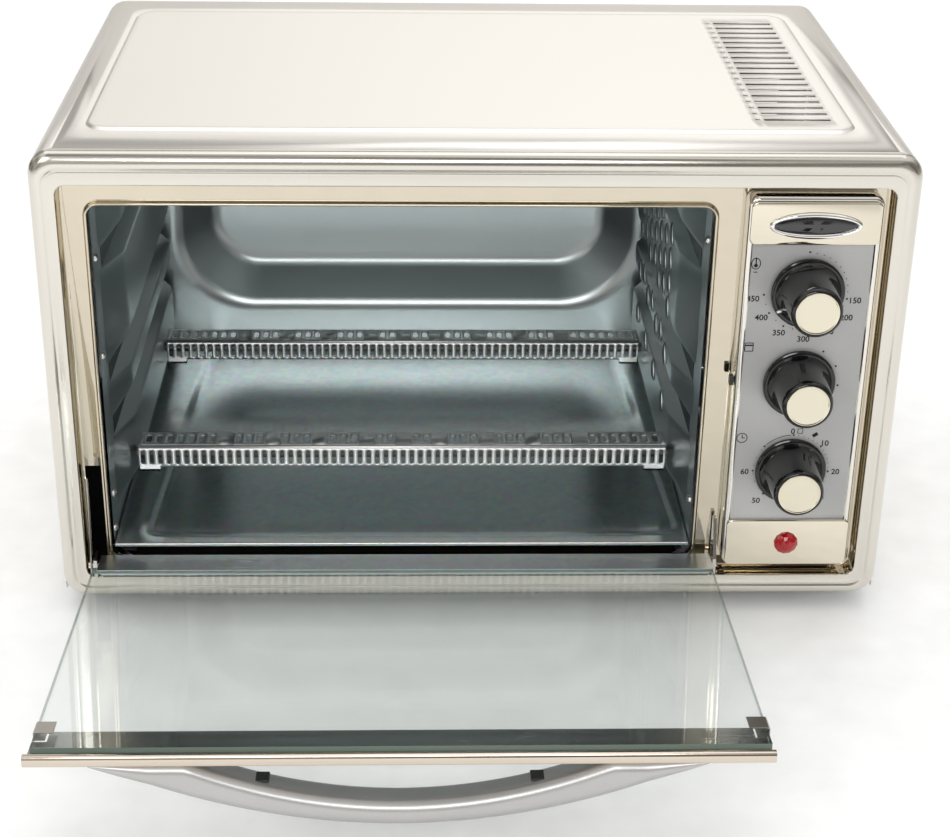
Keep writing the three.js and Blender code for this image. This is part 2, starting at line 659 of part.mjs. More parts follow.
// A clip folds round the edge of the glass, just below the top rail.
function makeClip(side) {
  const edge = side < 0 ? GLASS.x0 : GLASS.x1;
  const span = (a, b) => (side < 0 ? [edge + a, edge + b] : [edge - b, edge - a]);
  const [z0, z1] = [199, 210.6];
  const fold = 1.2;
  const plate = (y0, y1) => block(...span(-1.3, 4.6), y0, y1, z0, z1);
  const inside = plate(GLASS.inner + GAP, GLASS.inner + fold);
  const outside = plate(GLASS.outer - fold, GLASS.outer - GAP);
  const cheek = block(...span(-1.3, -0.4), GLASS.outer - fold, GLASS.inner + fold, z0, z1);
  return join(inside, outside, cheek);
}

// The lever on the left end of the hinge: it stands up in the slot while the door is open, and
// swings back into the cabinet as the door closes.
function makeLever() {
  const rest = rad(90 - DOOR_TILT);
  const hubRadius = 4.6;
  const points = [];
  const steps = 8;
  for (let i = 0; i <= steps; i += 1) {
    const t = i / steps;
    points.push([Math.sin(t * 1.5) * 5.5, 2 + 56 * t]);
  }
  const half = (t) => 3.4 - 1.2 * t;
  const left = points.map(([y, z], i) => [y - half(i / steps), z]);
  const right = points.map(([y, z], i) => [y + half(i / steps), z]).reverse();
  const [x0, x1] = [-233.2, -231.2];
  const arm = sidewaysGeometry(polygon([...left, ...right]), x0, x1).rotateX(-rest);
  const eye = rod("x", hubRadius, x0, x1, 0, 0, 16);
  return cut(join(solid(arm), eye), rod("x", PIN_R + 0.3, x0 - 2, x1 + 2, 0, 0, 16));
}

add("door_bottom_rail", makeBottomRail(), "galvanised", door);
add(
  "door_glass",
  block(GLASS.x0, GLASS.x1, GLASS.outer, GLASS.inner, GLASS.bottom, GLASS.top),
  "glass",
  door,
);
add("door_top_rail", makeTopRail(), "polished", door);
add("door_handle", makeHandle(), "handle", door);
for (const [side, offset] of [["left", -70], ["right", 70]]) {
  const u = offset / HANDLE.innerHalf;
  const seatY = -1.7 - (HANDLE.inner - 1.7) * (1 - u * u);
  const x = HANDLE.x + offset;
  add(`handle_insert_${side}`, block(x - 4, x + 4, seatY + 1.6, seatY + 2.6, 216, 228), "black", door);
}
add("glass_clip_left", makeClip(-1), "galvanised", door);
add("glass_clip_right", makeClip(1), "galvanised", door);
add("hinge_pin_left", rod("x", PIN_R, -234.2, -215.4, 0, 0, 16), "chrome", door);
add("hinge_pin_right", rod("x", PIN_R, 135, 150.8, 0, 0, 16), "chrome", door);
add("door_lever", makeLever(), "chrome", door);

// Brackets on the floor of the recess hold the pins.
function makeBracket(x0, x1, top) {
  const [front, back, foot, step] = [-1, RECESS.depth - 2.4, HINGE.z - 5.5, HINGE.z + 6];
  const ear = sideways(
    polygon([[front, foot], [back, foot], [back, top], [back - 4, top], [front, step]]), x0, x1,
  );
  return cut(ear, rod("x", PIN_R + 0.4, x0 - 2, x1 + 2, HINGE.y, HINGE.z, 16));
}
add("hinge_bracket_left", makeBracket(-230.4, -228.4, HINGE.z + 8), "chrome");
add("hinge_bracket_right", makeBracket(147.6, 149.6, HINGE.z + 30), "chrome");

// A spring inside the cabinet pulls on the lever. It is drawn as a closed rod with two hooks.
const SPRING = { x: -234, z: 40, front: 90, back: 160, radius: 5, wire: 1 };
function makeSpring() {
  const { x, z, front, back, radius, wire } = SPRING;
  const coil = rod("y", radius, front, back, x, z, 12);
  const hooks = [[front - 8, front + 2], [back - 2, back + 10]].map(([a, b]) => rod("y", wire, a, b, x, z, 8));
  return join(coil, ...hooks);
}
add("door_spring", makeSpring(), "galvanised");

// ---------------------------------------------------------------- the part's own frame

const extent = new THREE.Box3().setFromObject(oven);
const middle = extent.getCenter(new THREE.Vector3());
oven.position.set(-middle.x, -middle.y, -extent.min.z);

export default oven;
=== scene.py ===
# %% [markdown]
# # A countertop convection oven with its door laid open
# The maker's solids come in as a fixed frame of named pieces, and this lesson dresses them. Most of
# what the eye meets is rebuilt as pressed sheet, turned plastic or glass of the same size, with the
# soft bends and small holes that a plain solid leaves out. Hidden pieces keep their solids and only
# gain a finish. Lengths are in millimetres and measured from the oven itself: x runs to the right,
# y from the front face of the bezel to the back, z up from the underside of the bezel.

# %% Load the frame
import math

import bmesh
import bpy
from mathutils import Matrix, Vector


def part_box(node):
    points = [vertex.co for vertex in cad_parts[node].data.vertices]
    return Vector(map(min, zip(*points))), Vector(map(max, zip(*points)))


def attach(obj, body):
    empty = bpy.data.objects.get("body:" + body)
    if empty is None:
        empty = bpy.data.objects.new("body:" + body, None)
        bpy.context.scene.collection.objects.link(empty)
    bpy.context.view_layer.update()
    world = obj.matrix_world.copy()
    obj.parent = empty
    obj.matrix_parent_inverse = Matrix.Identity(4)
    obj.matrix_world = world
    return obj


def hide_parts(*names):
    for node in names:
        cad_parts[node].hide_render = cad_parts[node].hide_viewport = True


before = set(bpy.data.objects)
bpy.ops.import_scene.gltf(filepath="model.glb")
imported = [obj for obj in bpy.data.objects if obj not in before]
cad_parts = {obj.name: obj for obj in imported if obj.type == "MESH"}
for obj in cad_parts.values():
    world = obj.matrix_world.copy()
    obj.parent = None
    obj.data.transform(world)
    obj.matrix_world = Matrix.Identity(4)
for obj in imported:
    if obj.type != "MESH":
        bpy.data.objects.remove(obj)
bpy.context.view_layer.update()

# %% [markdown]
# ## One ruler
# Every measure below is written the way a drawing of the oven would give it. One function turns
# such a point into the frame's own metres, and a second does it for the door, which is drawn shut
# and then laid open about its hinge. Measuring the bezel's solid tells both where zero is.

# %% Points of the oven and of the door
MM = 0.001
bezel_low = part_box("front_bezel")[0]
ZERO = Vector((0, bezel_low.y, bezel_low.z))
HINGE_Y, HINGE_Z = 4, 20.5
DOOR_OPEN = math.radians(84.4)


def spot(x, y, z):
    return ZERO + Vector((x, y, z)) * MM


def door_spot(x, y, z):
    turned = Matrix.Rotation(DOOR_OPEN, 3, "X") @ Vector((x, y, z))
    return ZERO + (turned + Vector((0, HINGE_Y, HINGE_Z))) * MM


print("the bezel's face lies at y =", round(ZERO.y, 4), "m")

# %% [markdown]
# ## Paint by arithmetic
# A finish is a small formula: a base value, plus some noise, times a mask. Blender keeps such a
# formula as nodes and wires, which are slow to write by hand. The two classes here let the formula
# be written as plain arithmetic: each sum on a Tone adds the Math node that works it out.

# %% Tones and paints
class Tone:
    """The output of a node, which can be reckoned with."""

    def __init__(self, paint, socket):
        self.paint = paint
        self.socket = socket

    def reckon(self, operation, first, second=0.0):
        settings = {"operation": operation}
        return self.paint.node("ShaderNodeMath", settings, {0: first, 1: second})

    def __add__(self, other):
        return self.reckon("ADD", self, other)

    __radd__ = __add__

    def __sub__(self, other):
        return self.reckon("SUBTRACT", self, other)

    def __rsub__(self, other):
        return self.reckon("SUBTRACT", other, self)

    def __mul__(self, other):
        return self.reckon("MULTIPLY", self, other)

    __rmul__ = __mul__

    def __gt__(self, other):
        return self.reckon("GREATER_THAN", self, other)


class Paint:
    """A material, the nodes it is mixed from, and short names for the usual ones."""

    def __init__(self, name):
        self.material = bpy.data.materials.new(name)
        self.material.use_nodes = True
        self.tree = self.material.node_tree
        self.shader = self.tree.nodes["Principled BSDF"]

    def feed(self, socket, value):
        if isinstance(value, Tone):
            self.tree.links.new(value.socket, socket)
        else:
            socket.default_value = value

    def node(self, kind, settings=None, values=None, output=0):
        node = self.tree.nodes.new(kind)
        for key, value in (settings or {}).items():
            if key == "stops":
                ramp = node.color_ramp.elements
                for place, colour in value[2:]:
                    ramp.new(place)
                for element, (place, colour) in zip(ramp, value):
                    element.position = place
                    element.color = (*colour, 1)
            else:
                setattr(node, key, value)
        for key, value in (values or {}).items():
            self.feed(node.inputs[key], value)
        return Tone(self, node.outputs[output])

    def here(self, stretch=(1, 1, 1)):
        place = self.node("ShaderNodeTexCoord", output="Object")
        return self.node("ShaderNodeVectorMath", {"operation": "MULTIPLY"}, {0: place, 1: stretch})

    def noise(self, scale, stretch=(1, 1, 1), detail=3.0):
        values = {"Vector": self.here(stretch), "Scale": scale, "Detail": detail}
        return self.node("ShaderNodeTexNoise", None, values)

    def blend(self, factor, first, second):
        pair = {0: factor, 6: (*first, 1) if isinstance(first, tuple) else first,
                7: (*second, 1) if isinstance(second, tuple) else second}
        return self.node("ShaderNodeMix", {"data_type": "RGBA"}, pair, output=2)

    def ramp(self, factor, stops):
        return self.node("ShaderNodeValToRGB", {"stops": stops}, {"Fac": factor})

    def dents(self, height, strength, depth):
        values = {"Height": height, "Strength": strength, "Distance": depth}
        bump = self.node("ShaderNodeBump", None, values)
        self.feed(self.shader.inputs["Normal"], bump)

    def give(self, **values):
        for key, value in values.items():
            if isinstance(value, tuple) and len(value) == 3:
                value = (*value, 1)
            self.feed(self.shader.inputs[key.replace("_", " ")], value)
        return self


# %% [markdown]
# ## The family of sheet metals
# Polished bezel, satin casing and aluminised lining are all bare steel. What sets them apart is how
# sharp their mirror is, how their rolling grain runs, and a slow drift in both, because no sheet is
# equally bright all over. One function makes them all, so they look like relatives.

# %% Sheet metal
def sheet_metal(name, colour, rough, grain=(1, 1, 1), grain_scale=900, spread=0.05, drift=0.05,
                tint=0.06, ripple=0.0, specks=0.0, relief=0.02):
    paint = Paint(name)
    lines = paint.noise(grain_scale, grain, detail=2)
    clouds = paint.noise(9, detail=4)
    dark = tuple(channel * (1 - tint) for channel in colour)
    light = tuple(min(1.0, channel * (1 + tint)) for channel in colour)
    shade = paint.blend(clouds, dark, light)
    roughness = rough + (lines - 0.5) * spread + (clouds - 0.5) * drift
    if specks:
        cells = paint.node("ShaderNodeTexVoronoi", None,
                           {"Vector": paint.here(), "Scale": 260.0}, output="Color")
        shade = paint.node("ShaderNodeMix", {"data_type": "RGBA", "blend_type": "SOFT_LIGHT"},
                           {0: specks, 6: shade, 7: cells}, output=2)
    paint.give(Base_Color=shade, Metallic=1.0, Roughness=roughness)
    height = lines * relief + paint.noise(14, detail=1) * ripple
    paint.dents(height, 0.35, 0.001)
    return paint


# %% [markdown]
# Mouldings, paint and enamel are not metal at the surface: their gloss is a thin clear skin over a
# body colour. A fine bump stands for the mould's texture, and a few dull clouds for handling.

# %% Mouldings, paint and enamel
def moulding(name, colour, rough, bump_scale=700, bump=0.1, flakes=0.0, coat=0.0, drift=0.06):
    paint = Paint(name)
    clouds = paint.noise(30, detail=4)
    grains = paint.noise(bump_scale, detail=2)
    dark = tuple(channel * 0.88 for channel in colour)
    light = tuple(min(1.0, channel * 1.1) for channel in colour)
    paint.give(Base_Color=paint.blend(clouds * 0.6 + grains * 0.4, dark, light),
               Roughness=rough + (clouds - 0.5) * drift)
    paint.give(Metallic=flakes, Coat_Weight=coat, Coat_Roughness=0.08)
    paint.dents(grains, bump, 0.0002)
    return paint


# %% [markdown]
# ## Shapes from rings
# Pressed sheet keeps the same outline while its level changes: flat, bend, wall, bend, flat. The
# handiest way to build that is a stack of rings with equal numbers of points, joined by a skin of
# four-sided faces. The same skin makes turned knobs, since a circle is a ring too.

# %% Rings and skins
def box_of(x0, x1, z0, z1, r):
    return {"x0": x0, "x1": x1, "z0": z0, "z1": z1, "r": r}


def inset(box, d, r=None):
    return box_of(box["x0"] + d, box["x1"] - d, box["z0"] + d, box["z1"] - d,
                  max(box["r"] - d, 0.4) if r is None else r)


def toward(outer, inner, share):
    return {key: outer[key] + (inner[key] - outer[key]) * share for key in outer}


def corner_ring(box, steps=8):
    x0, x1, z0, z1, r = (box[key] for key in ("x0", "x1", "z0", "z1", "r"))
    centres = ((x1 - r, z0 + r, -90), (x1 - r, z1 - r, 0),
               (x0 + r, z1 - r, 90), (x0 + r, z0 + r, 180))
    ring = []
    for cx, cz, start in centres:
        for step in range(steps + 1):
            angle = math.radians(start + 90 * step / steps)
            ring.append((cx + r * math.cos(angle), cz + r * math.sin(angle)))
    return ring


def front_rings(stages, steps=8):
    """Rings that face the front, from pairs of a box and its y."""
    return [[(x, y, z) for x, z in corner_ring(box, steps)] for box, y in stages]


def skin(rings, first_cap=False, last_cap=False, closed=True):
    count = len(rings[0])
    points = [point for ring in rings for point in ring]
    faces = []
    for level in range(len(rings) - 1):
        for i in range(count if closed else count - 1):
            j = (i + 1) % count
            low, high = level * count, (level + 1) * count
            faces.append((low + i, low + j, high + j, high + i))
    if first_cap:
        faces.append(tuple(range(count))[::-1])
    if last_cap:
        faces.append(tuple((len(rings) - 1) * count + i for i in range(count)))
    return points, faces


def together(*shapes):
    points, faces = [], []
    for more_points, more_faces in shapes:
        start = len(points)
        points += more_points
        faces += [tuple(start + i for i in face) for face in more_faces]
    return points, faces


def turned(profile, x, y, z, sides=72):
    """A profile of (radius, height) about an axis that points out of the front."""
    rings = []
    for radius, height in profile:
        angles = [math.tau * i / sides for i in range(sides)]
        rings.append([(x + radius * math.sin(a), y - height, z + radius * math.cos(a))
                      for a in angles])
    return skin(rings, first_cap=True, last_cap=True)


def slab(x0, x1, y0, y1, z0, z1):
    ring = [(x0, z0), (x1, z0), (x1, z1), (x0, z1)]
    return skin([[(x, y, z) for x, z in ring] for y in (y0, y1)], True, True)


# %% [markdown]
# ## From points to a piece
# A piece needs a mesh, smooth shading that still breaks at true edges, a finish, the body it moves
# with, and the solid it stands in for. Doing all of that in one place keeps every later cell short.
# Thin sheet gets its thickness from a Solidify modifier and plain edges get a small Bevel.

# %% Make a piece
def piece(name, shape, finishes, body, stands_for=(), crease=32, place=spot, thick=0, bevel=0,
          segments=3, pick=None, cut=None, closed=True):
    points, faces = shape
    mesh = bpy.data.meshes.new(name)
    mesh.from_pydata([place(*point) for point in points], [], faces)
    work = bmesh.new()
    work.from_mesh(mesh)
    bmesh.ops.remove_doubles(work, verts=work.verts, dist=0.00002)
    if closed:
        bmesh.ops.recalc_face_normals(work, faces=work.faces)
    if cut:
        cut(work)
    work.to_mesh(mesh)
    work.free()
    mesh.shade_smooth()
    mesh.set_sharp_from_angle(angle=math.radians(crease))
    finishes = finishes if isinstance(finishes, (list, tuple)) else [finishes]
    for finish in finishes:
        mesh.materials.append(finish.material)
    if pick:
        for face in mesh.polygons:
            face.material_index = pick(face)
    made = bpy.data.objects.new(name, mesh)
    bpy.context.scene.collection.objects.link(made)
    if thick:
        solid = made.modifiers.new("sheet", "SOLIDIFY")
        solid.thickness = thick * MM
        solid.offset = -1
    if bevel:
        edge = made.modifiers.new("edge", "BEVEL")
        edge.width = bevel * MM
        edge.segments = segments
        edge.limit_method = "ANGLE"
        edge.angle_limit = math.radians(35)
        edge.harden_normals = True
    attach(made, body)
    if stands_for:
        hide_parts(*stands_for)
    return made


def dress(paint, *nodes):
    """Gives solids that keep their shape a finish of their own."""
    for node in nodes:
        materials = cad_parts[node].data.materials
        materials.clear()
        materials.append(paint.material)


def windows(work, place, spans_x, spans_y=None, spans_z=None, near=None):
    """Cuts oblong holes out of a sheet: it is sliced along their sides, then their faces go."""
    for axis, spans in (("x", spans_x), ("y", spans_y), ("z", spans_z)):
        if spans is None:
            continue
        normal = {"x": (1, 0, 0), "y": (0, 1, 0), "z": (0, 0, 1)}[axis]
        for edge in sorted({edge for span in spans for edge in span}):
            at = place(*(edge * part for part in normal))
            zone = [face for face in work.faces if near(face)]
            edges = {e for face in zone for e in face.edges}
            points = {v for face in zone for v in face.verts}
            bmesh.ops.bisect_plane(work, geom=zone + list(edges) + list(points),
                                   plane_co=at, plane_no=normal, dist=0.000001)


# %% [markdown]
# ## The bezel
# The bezel is one stamping: a flat band at the seam, a round bead, a face that slopes inwards, a
# deep recess with mirror walls, and a raised lip round the oven's mouth. It could be cut from a
# block with many fillets, but a stack of rings follows the press tool's own profile and keeps each
# bend smooth. Each ring lies a share of the way from the outer edge to the recess, because the
# margins differ on the four sides.

# %% Bezel pressing
OUTER = box_of(-250, 250, 0, 285.3, 14)
RECESS = box_of(-235.4, 235.9, 13.7, 265.7, 6)
MOUTH = box_of(-220.5, 135.7, 21.6, 250.5, 7)
RECESS_Y = 14
ARM_SLOT = {"x": (-233.6, -224.0), "z": (16.2, 84)}

bezel_steel = sheet_metal("bezel_steel", (0.69, 0.66, 0.60), 0.16, (0.05, 1, 1), 700,
                          spread=0.03, drift=0.05, ripple=0.25, relief=0.002)
# The recess's gold is partly the steel's own tone and partly a painted warm reflection of the room.
recess_warm_reflection_steel = sheet_metal("recess_steel_warm_reflection", (0.62, 0.56, 0.45), 0.045, (0.05, 1, 1), 500,
                           spread=0.02, drift=0.02, ripple=0.8, relief=0.002)

across_the_rim = [(0.05, 8.6), (0.0, 8.0), (0.0, 5.6), (0.02, 4.0), (0.07, 2.5), (0.14, 1.35),
                  (0.23, 0.55), (0.33, 0.1), (0.42, 0.05), (0.50, 0.35), (0.545, 0.85), (0.575, 0.85),
                  (0.61, 0.6), (0.66, 0.75), (0.94, 1.75), (0.97, 1.65), (1.0, 2.1)]
rim_stages = [(toward(OUTER, RECESS, share), y) for share, y in across_the_rim]
recess_stages = [(RECESS, 12.8), (inset(RECESS, 0.3), 13.5), (inset(RECESS, 0.8), 13.9),
                 (inset(RECESS, 1.4), 14.0), (inset(RECESS, 1.7), 14.0)]
lip_profile = [(3.0, 14.0), (2.6, 14.0), (2.2, 13.7), (2.0, 13.1), (1.9, 12.3), (1.7, 11.5),
               (1.3, 11.1), (0.8, 11.0), (0.3, 11.25), (0.0, 11.8), (0.0, 15.4)]
lip_stages = [(inset(MOUTH, -d, MOUTH["r"] + d), y) for d, y in lip_profile]


def open_arm_slot(work):
    def near(face):
        middle = (face.calc_center_median() - ZERO) / MM
        return middle.x < -223 and abs(middle.y - RECESS_Y) < 0.3
    windows(work, spot, [ARM_SLOT["x"]], None, [ARM_SLOT["z"]], near)
    inside = []
    for face in work.faces:
        middle = (face.calc_center_median() - ZERO) / MM
        if near(face) and all(low < value < high for value, (low, high) in
                              ((middle.x, ARM_SLOT["x"]), (middle.z, ARM_SLOT["z"]))):
            inside.append(face)
    bmesh.ops.delete(work, geom=inside, context="FACES")
    print("arm slot opened:", len(inside), "faces")


def in_recess(face):
    middle = (face.center - ZERO) / MM
    deep = middle.y > 2.6
    within = -235.9 < middle.x < 236.4 and 13.2 < middle.z < 266.2
    return 1 if deep and within else 0


bezel = piece("bezel_pressing", skin(front_rings(rim_stages + recess_stages + lip_stages, 10)),
              [bezel_steel, recess_warm_reflection_steel], "cabinet", ["front_bezel"], crease=50, thick=0.7,
              pick=in_recess, cut=open_arm_slot)
print("bezel:", len(bezel.data.polygons), "faces")

# %% [markdown]
# ## The wrap
# One sheet runs up the left side, over the top and down the right. Its top carries a raised field
# and a column of nineteen louvres with a short dash beside each. The sheet is built flat-sided with
# rings for the field's step. Each louvre is a real hole: the field is sliced along the hole's sides
# and the slices removed, and the strip before it is pressed down a little, as the punch does.

# %% Wrap with its louvres
WRAP_Y = (8.4, 329)
TOP_Z = 285.3
FIELD = {"x": (-223.5, 219.5), "y": (41.5, 299.5), "rise": 1.2}
LOUVRES = [62.5 + i * (275 - 62.5) / 18 for i in range(19)]
LOUVRE_X = (168.4, 207.6)
DASH_X = (163.2, 166.2)
LOUVRE_HALF = 1.15

casing_steel = sheet_metal("casing_steel", (0.90, 0.875, 0.83), 0.34, (0.02, 1, 1), 900,
                           spread=0.015, drift=0.04, tint=0.02, relief=0.0)

flat_edge = 236
side_path = [(-250, 2)] + [(-250, 40 + 231.3 * i / 6) for i in range(7)]
arc = [(-236 - 14 * math.cos(math.radians(a)), 271.3 + 14 * math.sin(math.radians(a)))
       for a in range(9, 91, 9)]
left_side = side_path + arc
sides = []
for sign in (1, -1):
    rows = [[(sign * x, y, z) for x, z in left_side] for y in (WRAP_Y[0], WRAP_Y[0] + 1.5, WRAP_Y[1])]
    sides.append(skin(rows, closed=False))

foot = {"x0": FIELD["x"][0], "x1": FIELD["x"][1], "z0": FIELD["y"][0], "z1": FIELD["y"][1], "r": 14}
top_edge = box_of(-flat_edge, flat_edge, *WRAP_Y, 0.01)
step = [(top_edge, 0), (inset(foot, -3), 0), (inset(foot, -1.6), -0.35), (inset(foot, -0.8), -0.4),
        (foot, 0.1), (inset(foot, 0.9), 0.85), (inset(foot, 2.0), 1.2), (inset(foot, 4.5), 1.2)]
field_rings = [[(x, y, TOP_Z + z) for x, y in corner_ring(box, 6)] for box, z in step]
top_sheet = skin(field_rings, last_cap=True)


def punch_louvres(work):
    level = TOP_Z + FIELD["rise"]

    def near(face):
        middle = (face.calc_center_median() - ZERO) / MM
        return abs(middle.z - level) < 0.02 and -215 < middle.x < 212 and 45 < middle.y < 296
    def near_column(face):
        middle = (face.calc_center_median() - ZERO) / MM
        return near(face) and middle.x > DASH_X[0] - 3

    rows = [(y - LOUVRE_HALF, y + LOUVRE_HALF) for y in LOUVRES]
    windows(work, spot, [(DASH_X[0] - 3, LOUVRE_X[1] + 3)], None, None, near)
    windows(work, spot, [DASH_X, LOUVRE_X], rows, None, near_column)
    holes = []
    for face in work.faces:
        middle = (face.calc_center_median() - ZERO) / MM
        in_row = any(low < middle.y < high for low, high in rows)
        in_column = any(low < middle.x < high for low, high in (DASH_X, LOUVRE_X))
        if near(face) and in_row and in_column:
            holes.append(face)
    bmesh.ops.delete(work, geom=holes, context="FACES")
    for vert in work.verts:
        here = (vert.co - ZERO) / MM
        on_front_edge = any(abs(here.y - low) < 0.02 for low, high in rows)
        along_slot = LOUVRE_X[0] - 0.1 < here.x < LOUVRE_X[1] + 0.1
        if on_front_edge and along_slot and abs(here.z - level) < 0.02:
            vert.co.z -= 0.35 * MM
    print("louvres:", len(holes), "holes")


wrap = piece("wrap_sheet", together(*sides, top_sheet), casing_steel, "cabinet", ["wrap_casing"],
             crease=28, thick=0.8, cut=punch_louvres)
print("wrap:", len(wrap.data.polygons), "faces")

# %% [markdown]
# ## Rear panel
# Behind the oven the sheet bows out so that a round dish has room. It is the same idea as the
# bezel, seen from the other side: rings that step outwards through two soft bends. Ten slots behind
# the controls let warm air out, and eight screws hold the panel to the wrap.

# %% Rear panel
REAR_Y = 328.2
galvanised = sheet_metal("galvanised_sheet", (0.60, 0.62, 0.63), 0.36, (1, 1, 1), 400,
                         spread=0.10, drift=0.10, tint=0.08, specks=0.25)
screw_steel = sheet_metal("screw_steel", (0.74, 0.73, 0.71), 0.22, (1, 1, 1), 900)

dome_foot = box_of(-210, 132, 46, 256, 40)
rear_stages = [(box_of(-248.4, 248.4, 3.6, 283.6, 13), REAR_Y), (inset(dome_foot, -4, 44), REAR_Y),
               (inset(dome_foot, 0, 41), REAR_Y + 0.9), (inset(dome_foot, 4, 38), REAR_Y + 3.4),
               (inset(dome_foot, 17, 32), REAR_Y + 16), (inset(dome_foot, 20, 31), REAR_Y + 19),
               (inset(dome_foot, 24, 30), REAR_Y + 21.2), (inset(dome_foot, 28, 28), REAR_Y + 21.6)]
REAR_SLOTS = [(150 + 9 * i, 153.4 + 9 * i) for i in range(10)]


def open_rear_slots(work):
    def near(face):
        middle = (face.calc_center_median() - ZERO) / MM
        return abs(middle.y - REAR_Y) < 0.05
    windows(work, spot, [(158, 228)], None, REAR_SLOTS, near)
    holes = []
    for face in work.faces:
        middle = (face.calc_center_median() - ZERO) / MM
        if near(face) and 158 < middle.x < 228 and any(a < middle.z < b for a, b in REAR_SLOTS):
            holes.append(face)
    bmesh.ops.delete(work, geom=holes, context="FACES")
    print("rear slots:", len(holes), "faces removed")


piece("rear_sheet", skin(front_rings(rear_stages), last_cap=True), galvanised, "cabinet",
      ["rear_panel"], crease=40, thick=0.8, cut=open_rear_slots)


# %% [markdown]
# A pan-head screw is a small dome with a cross sunk into it. Turning a profile gives the dome, and
# four notches pulled into its crown read as the cross at this size.

# %% Screws
def screw(name, x, y, z, radius=2.6, facing=-1, side=None, body="cabinet"):
    """facing is -1 for a head that looks to the front and 1 to the back; side turns it to +-x."""
    profile = [(radius, 0), (radius, radius * 0.25), (radius * 0.8, radius * 0.55),
               (radius * 0.45, radius * 0.7), (radius * 0.2, radius * 0.45), (0.02, radius * 0.4)]
    rings = []
    sides = 20
    for ring_radius, height in profile:
        ring = []
        for i in range(sides):
            angle = math.tau * i / sides
            notch = 0.55 if ring_radius < radius * 0.6 and i % 5 == 0 else 1.0
            a, b = ring_radius * notch * math.cos(angle), ring_radius * notch * math.sin(angle)
            if side:
                ring.append((x + side * height, y + a, z + b))
            else:
                ring.append((x + a, y + facing * height, z + b))
        rings.append(ring)
    return piece(name, skin(rings, True, True), screw_steel, body, crease=40)


for number, (x, z) in enumerate([(-240, 14), (-240, 274), (0, 277), (240, 274), (240, 14), (0, 10),
                                 (-241, 144), (241, 130)]):
    screw(f"rear_screw_{number + 1}", x, REAR_Y, z, facing=1)
print("rear panel and screws done")

# %% [markdown]
# ## The oven's lining
# The inside is aluminised sheet: cool grey, with soft mirror images and a very fine crystal
# pattern. The back is pressed out in one deep step with generous bends, which catch two bright
# lines of light. The side walls carry four raised fields each, and the grooves between the fields
# are the tracks that the racks slide in.

# %% Back of the cavity
CAVITY = {"x": (-219.5, 134.5), "y": (15.6, 305), "z": (28, 252.5)}
BULGE = box_of(-206, 128, 66, 246, 52)

lining = sheet_metal("cavity_lining", (0.48, 0.525, 0.53), 0.30, (1, 1, 1), 160,
                     spread=0.04, drift=0.08, tint=0.05, ripple=0.2, relief=0.003)

back_edge = box_of(CAVITY["x"][0], CAVITY["x"][1], *CAVITY["z"], 2)
dish = [(-6, 0), (-2.5, 0.35), (1, 1.6), (4, 3.8), (21, 20.2), (24, 22.3), (27.5, 23.6), (32, 24)]
dish_stages = [(inset(BULGE, d, 54 - 0.75 * max(d, 0)), 305 + y) for d, y in dish]
piece("cavity_back_pressing", skin(front_rings([(back_edge, 305)] + dish_stages, 12), last_cap=True),
      lining, "cabinet", ["cavity_back"], crease=60)

# %% Side walls of the cavity
FIELD_SPANS = [(213, 246), (139, 201), (103, 127), (44, 91)]
FIELD_FRONT, FIELD_RAMP, FIELD_BACK = 35, 76, 300
FIELD_PROUD = 8.5


def wall_field(x, inward, low, high):
    """One raised field: a shallow ramp at the front, steep sides and soft bends."""
    stages = [(FIELD_FRONT, FIELD_BACK, 0.0, -0.3), (FIELD_FRONT + 3, FIELD_BACK - 1.0, 0.5, 0.5),
              (FIELD_RAMP - 4, FIELD_BACK - 7, 4.2, FIELD_PROUD - 0.9),
              (FIELD_RAMP, FIELD_BACK - 9, 5.2, FIELD_PROUD - 0.2),
              (FIELD_RAMP + 4, FIELD_BACK - 11, 6.6, FIELD_PROUD)]
    rings = []
    for y0, y1, squeeze, proud in stages:
        radius = min(7.0, (high - low) / 2 - squeeze - 0.5)
        outline = corner_ring(box_of(y0, y1, low + squeeze, high - squeeze, radius), 5)
        rings.append([(x + inward * proud, y, z) for y, z in outline])
    return skin(rings, last_cap=True)


def wall(side):
    x = CAVITY["x"][0] if side < 0 else CAVITY["x"][1]
    inward = -side
    (y0, y1), (z0, z1) = CAVITY["y"], CAVITY["z"]
    sheet = skin([[(x, y0, z0), (x, y0, z1)], [(x, y1, z0), (x, y1, z1)]], closed=False)
    fields = [wall_field(x, inward, low, high) for low, high in FIELD_SPANS]
    return together(sheet, *fields)


def groove_shade_strips(side):
    """Dark strips on the floors of the three grooves: painted shade, where the raised fields shade them.
    """
    x = CAVITY["x"][0] + 0.1 if side < 0 else CAVITY["x"][1] - 0.3
    return together(*(slab(x, x + 0.2, FIELD_FRONT + 8, FIELD_BACK - 4, level - 5.7, level + 5.7)
                      for level in (207, 133, 97)))


# The grooves' near-black strips are painted shade, where the raised fields shade the grooves.
groove_shade_steel = sheet_metal("groove_shade_steel", (0.045, 0.05, 0.052), 0.34, (1, 1, 1), 160, spread=0.06)
piece("left_wall_pressing", wall(-1), lining, "cabinet", ["cavity_left_wall"], crease=50)
piece("left_wall_groove_shade", groove_shade_strips(-1), groove_shade_steel, "cabinet")
print("left wall:", len(FIELD_SPANS), "fields")

# %% [markdown]
# The right wall also has the fan behind it. On the real wall its air comes through slanted slits,
# each under a raised hood. Here the wall is not cut, which keeps its mesh simple: each slit is a
# dark film, and an almond-shaped hood swells over it. The hoods stand in staggered rows and leave
# the grooves free.

# %% Right wall and the fan's hooded slits
grille_dark = sheet_metal("slit_shadow", (0.03, 0.033, 0.036), 0.4, (1, 1, 1), 300)
hood_steel = sheet_metal("hood_steel", (0.40, 0.44, 0.45), 0.30, (1, 1, 1), 300, spread=0.08)
piece("right_wall_pressing", wall(1), lining, "cabinet", ["cavity_right_wall"], crease=50)
piece("right_wall_groove_shade", groove_shade_strips(1), groove_shade_steel, "cabinet")


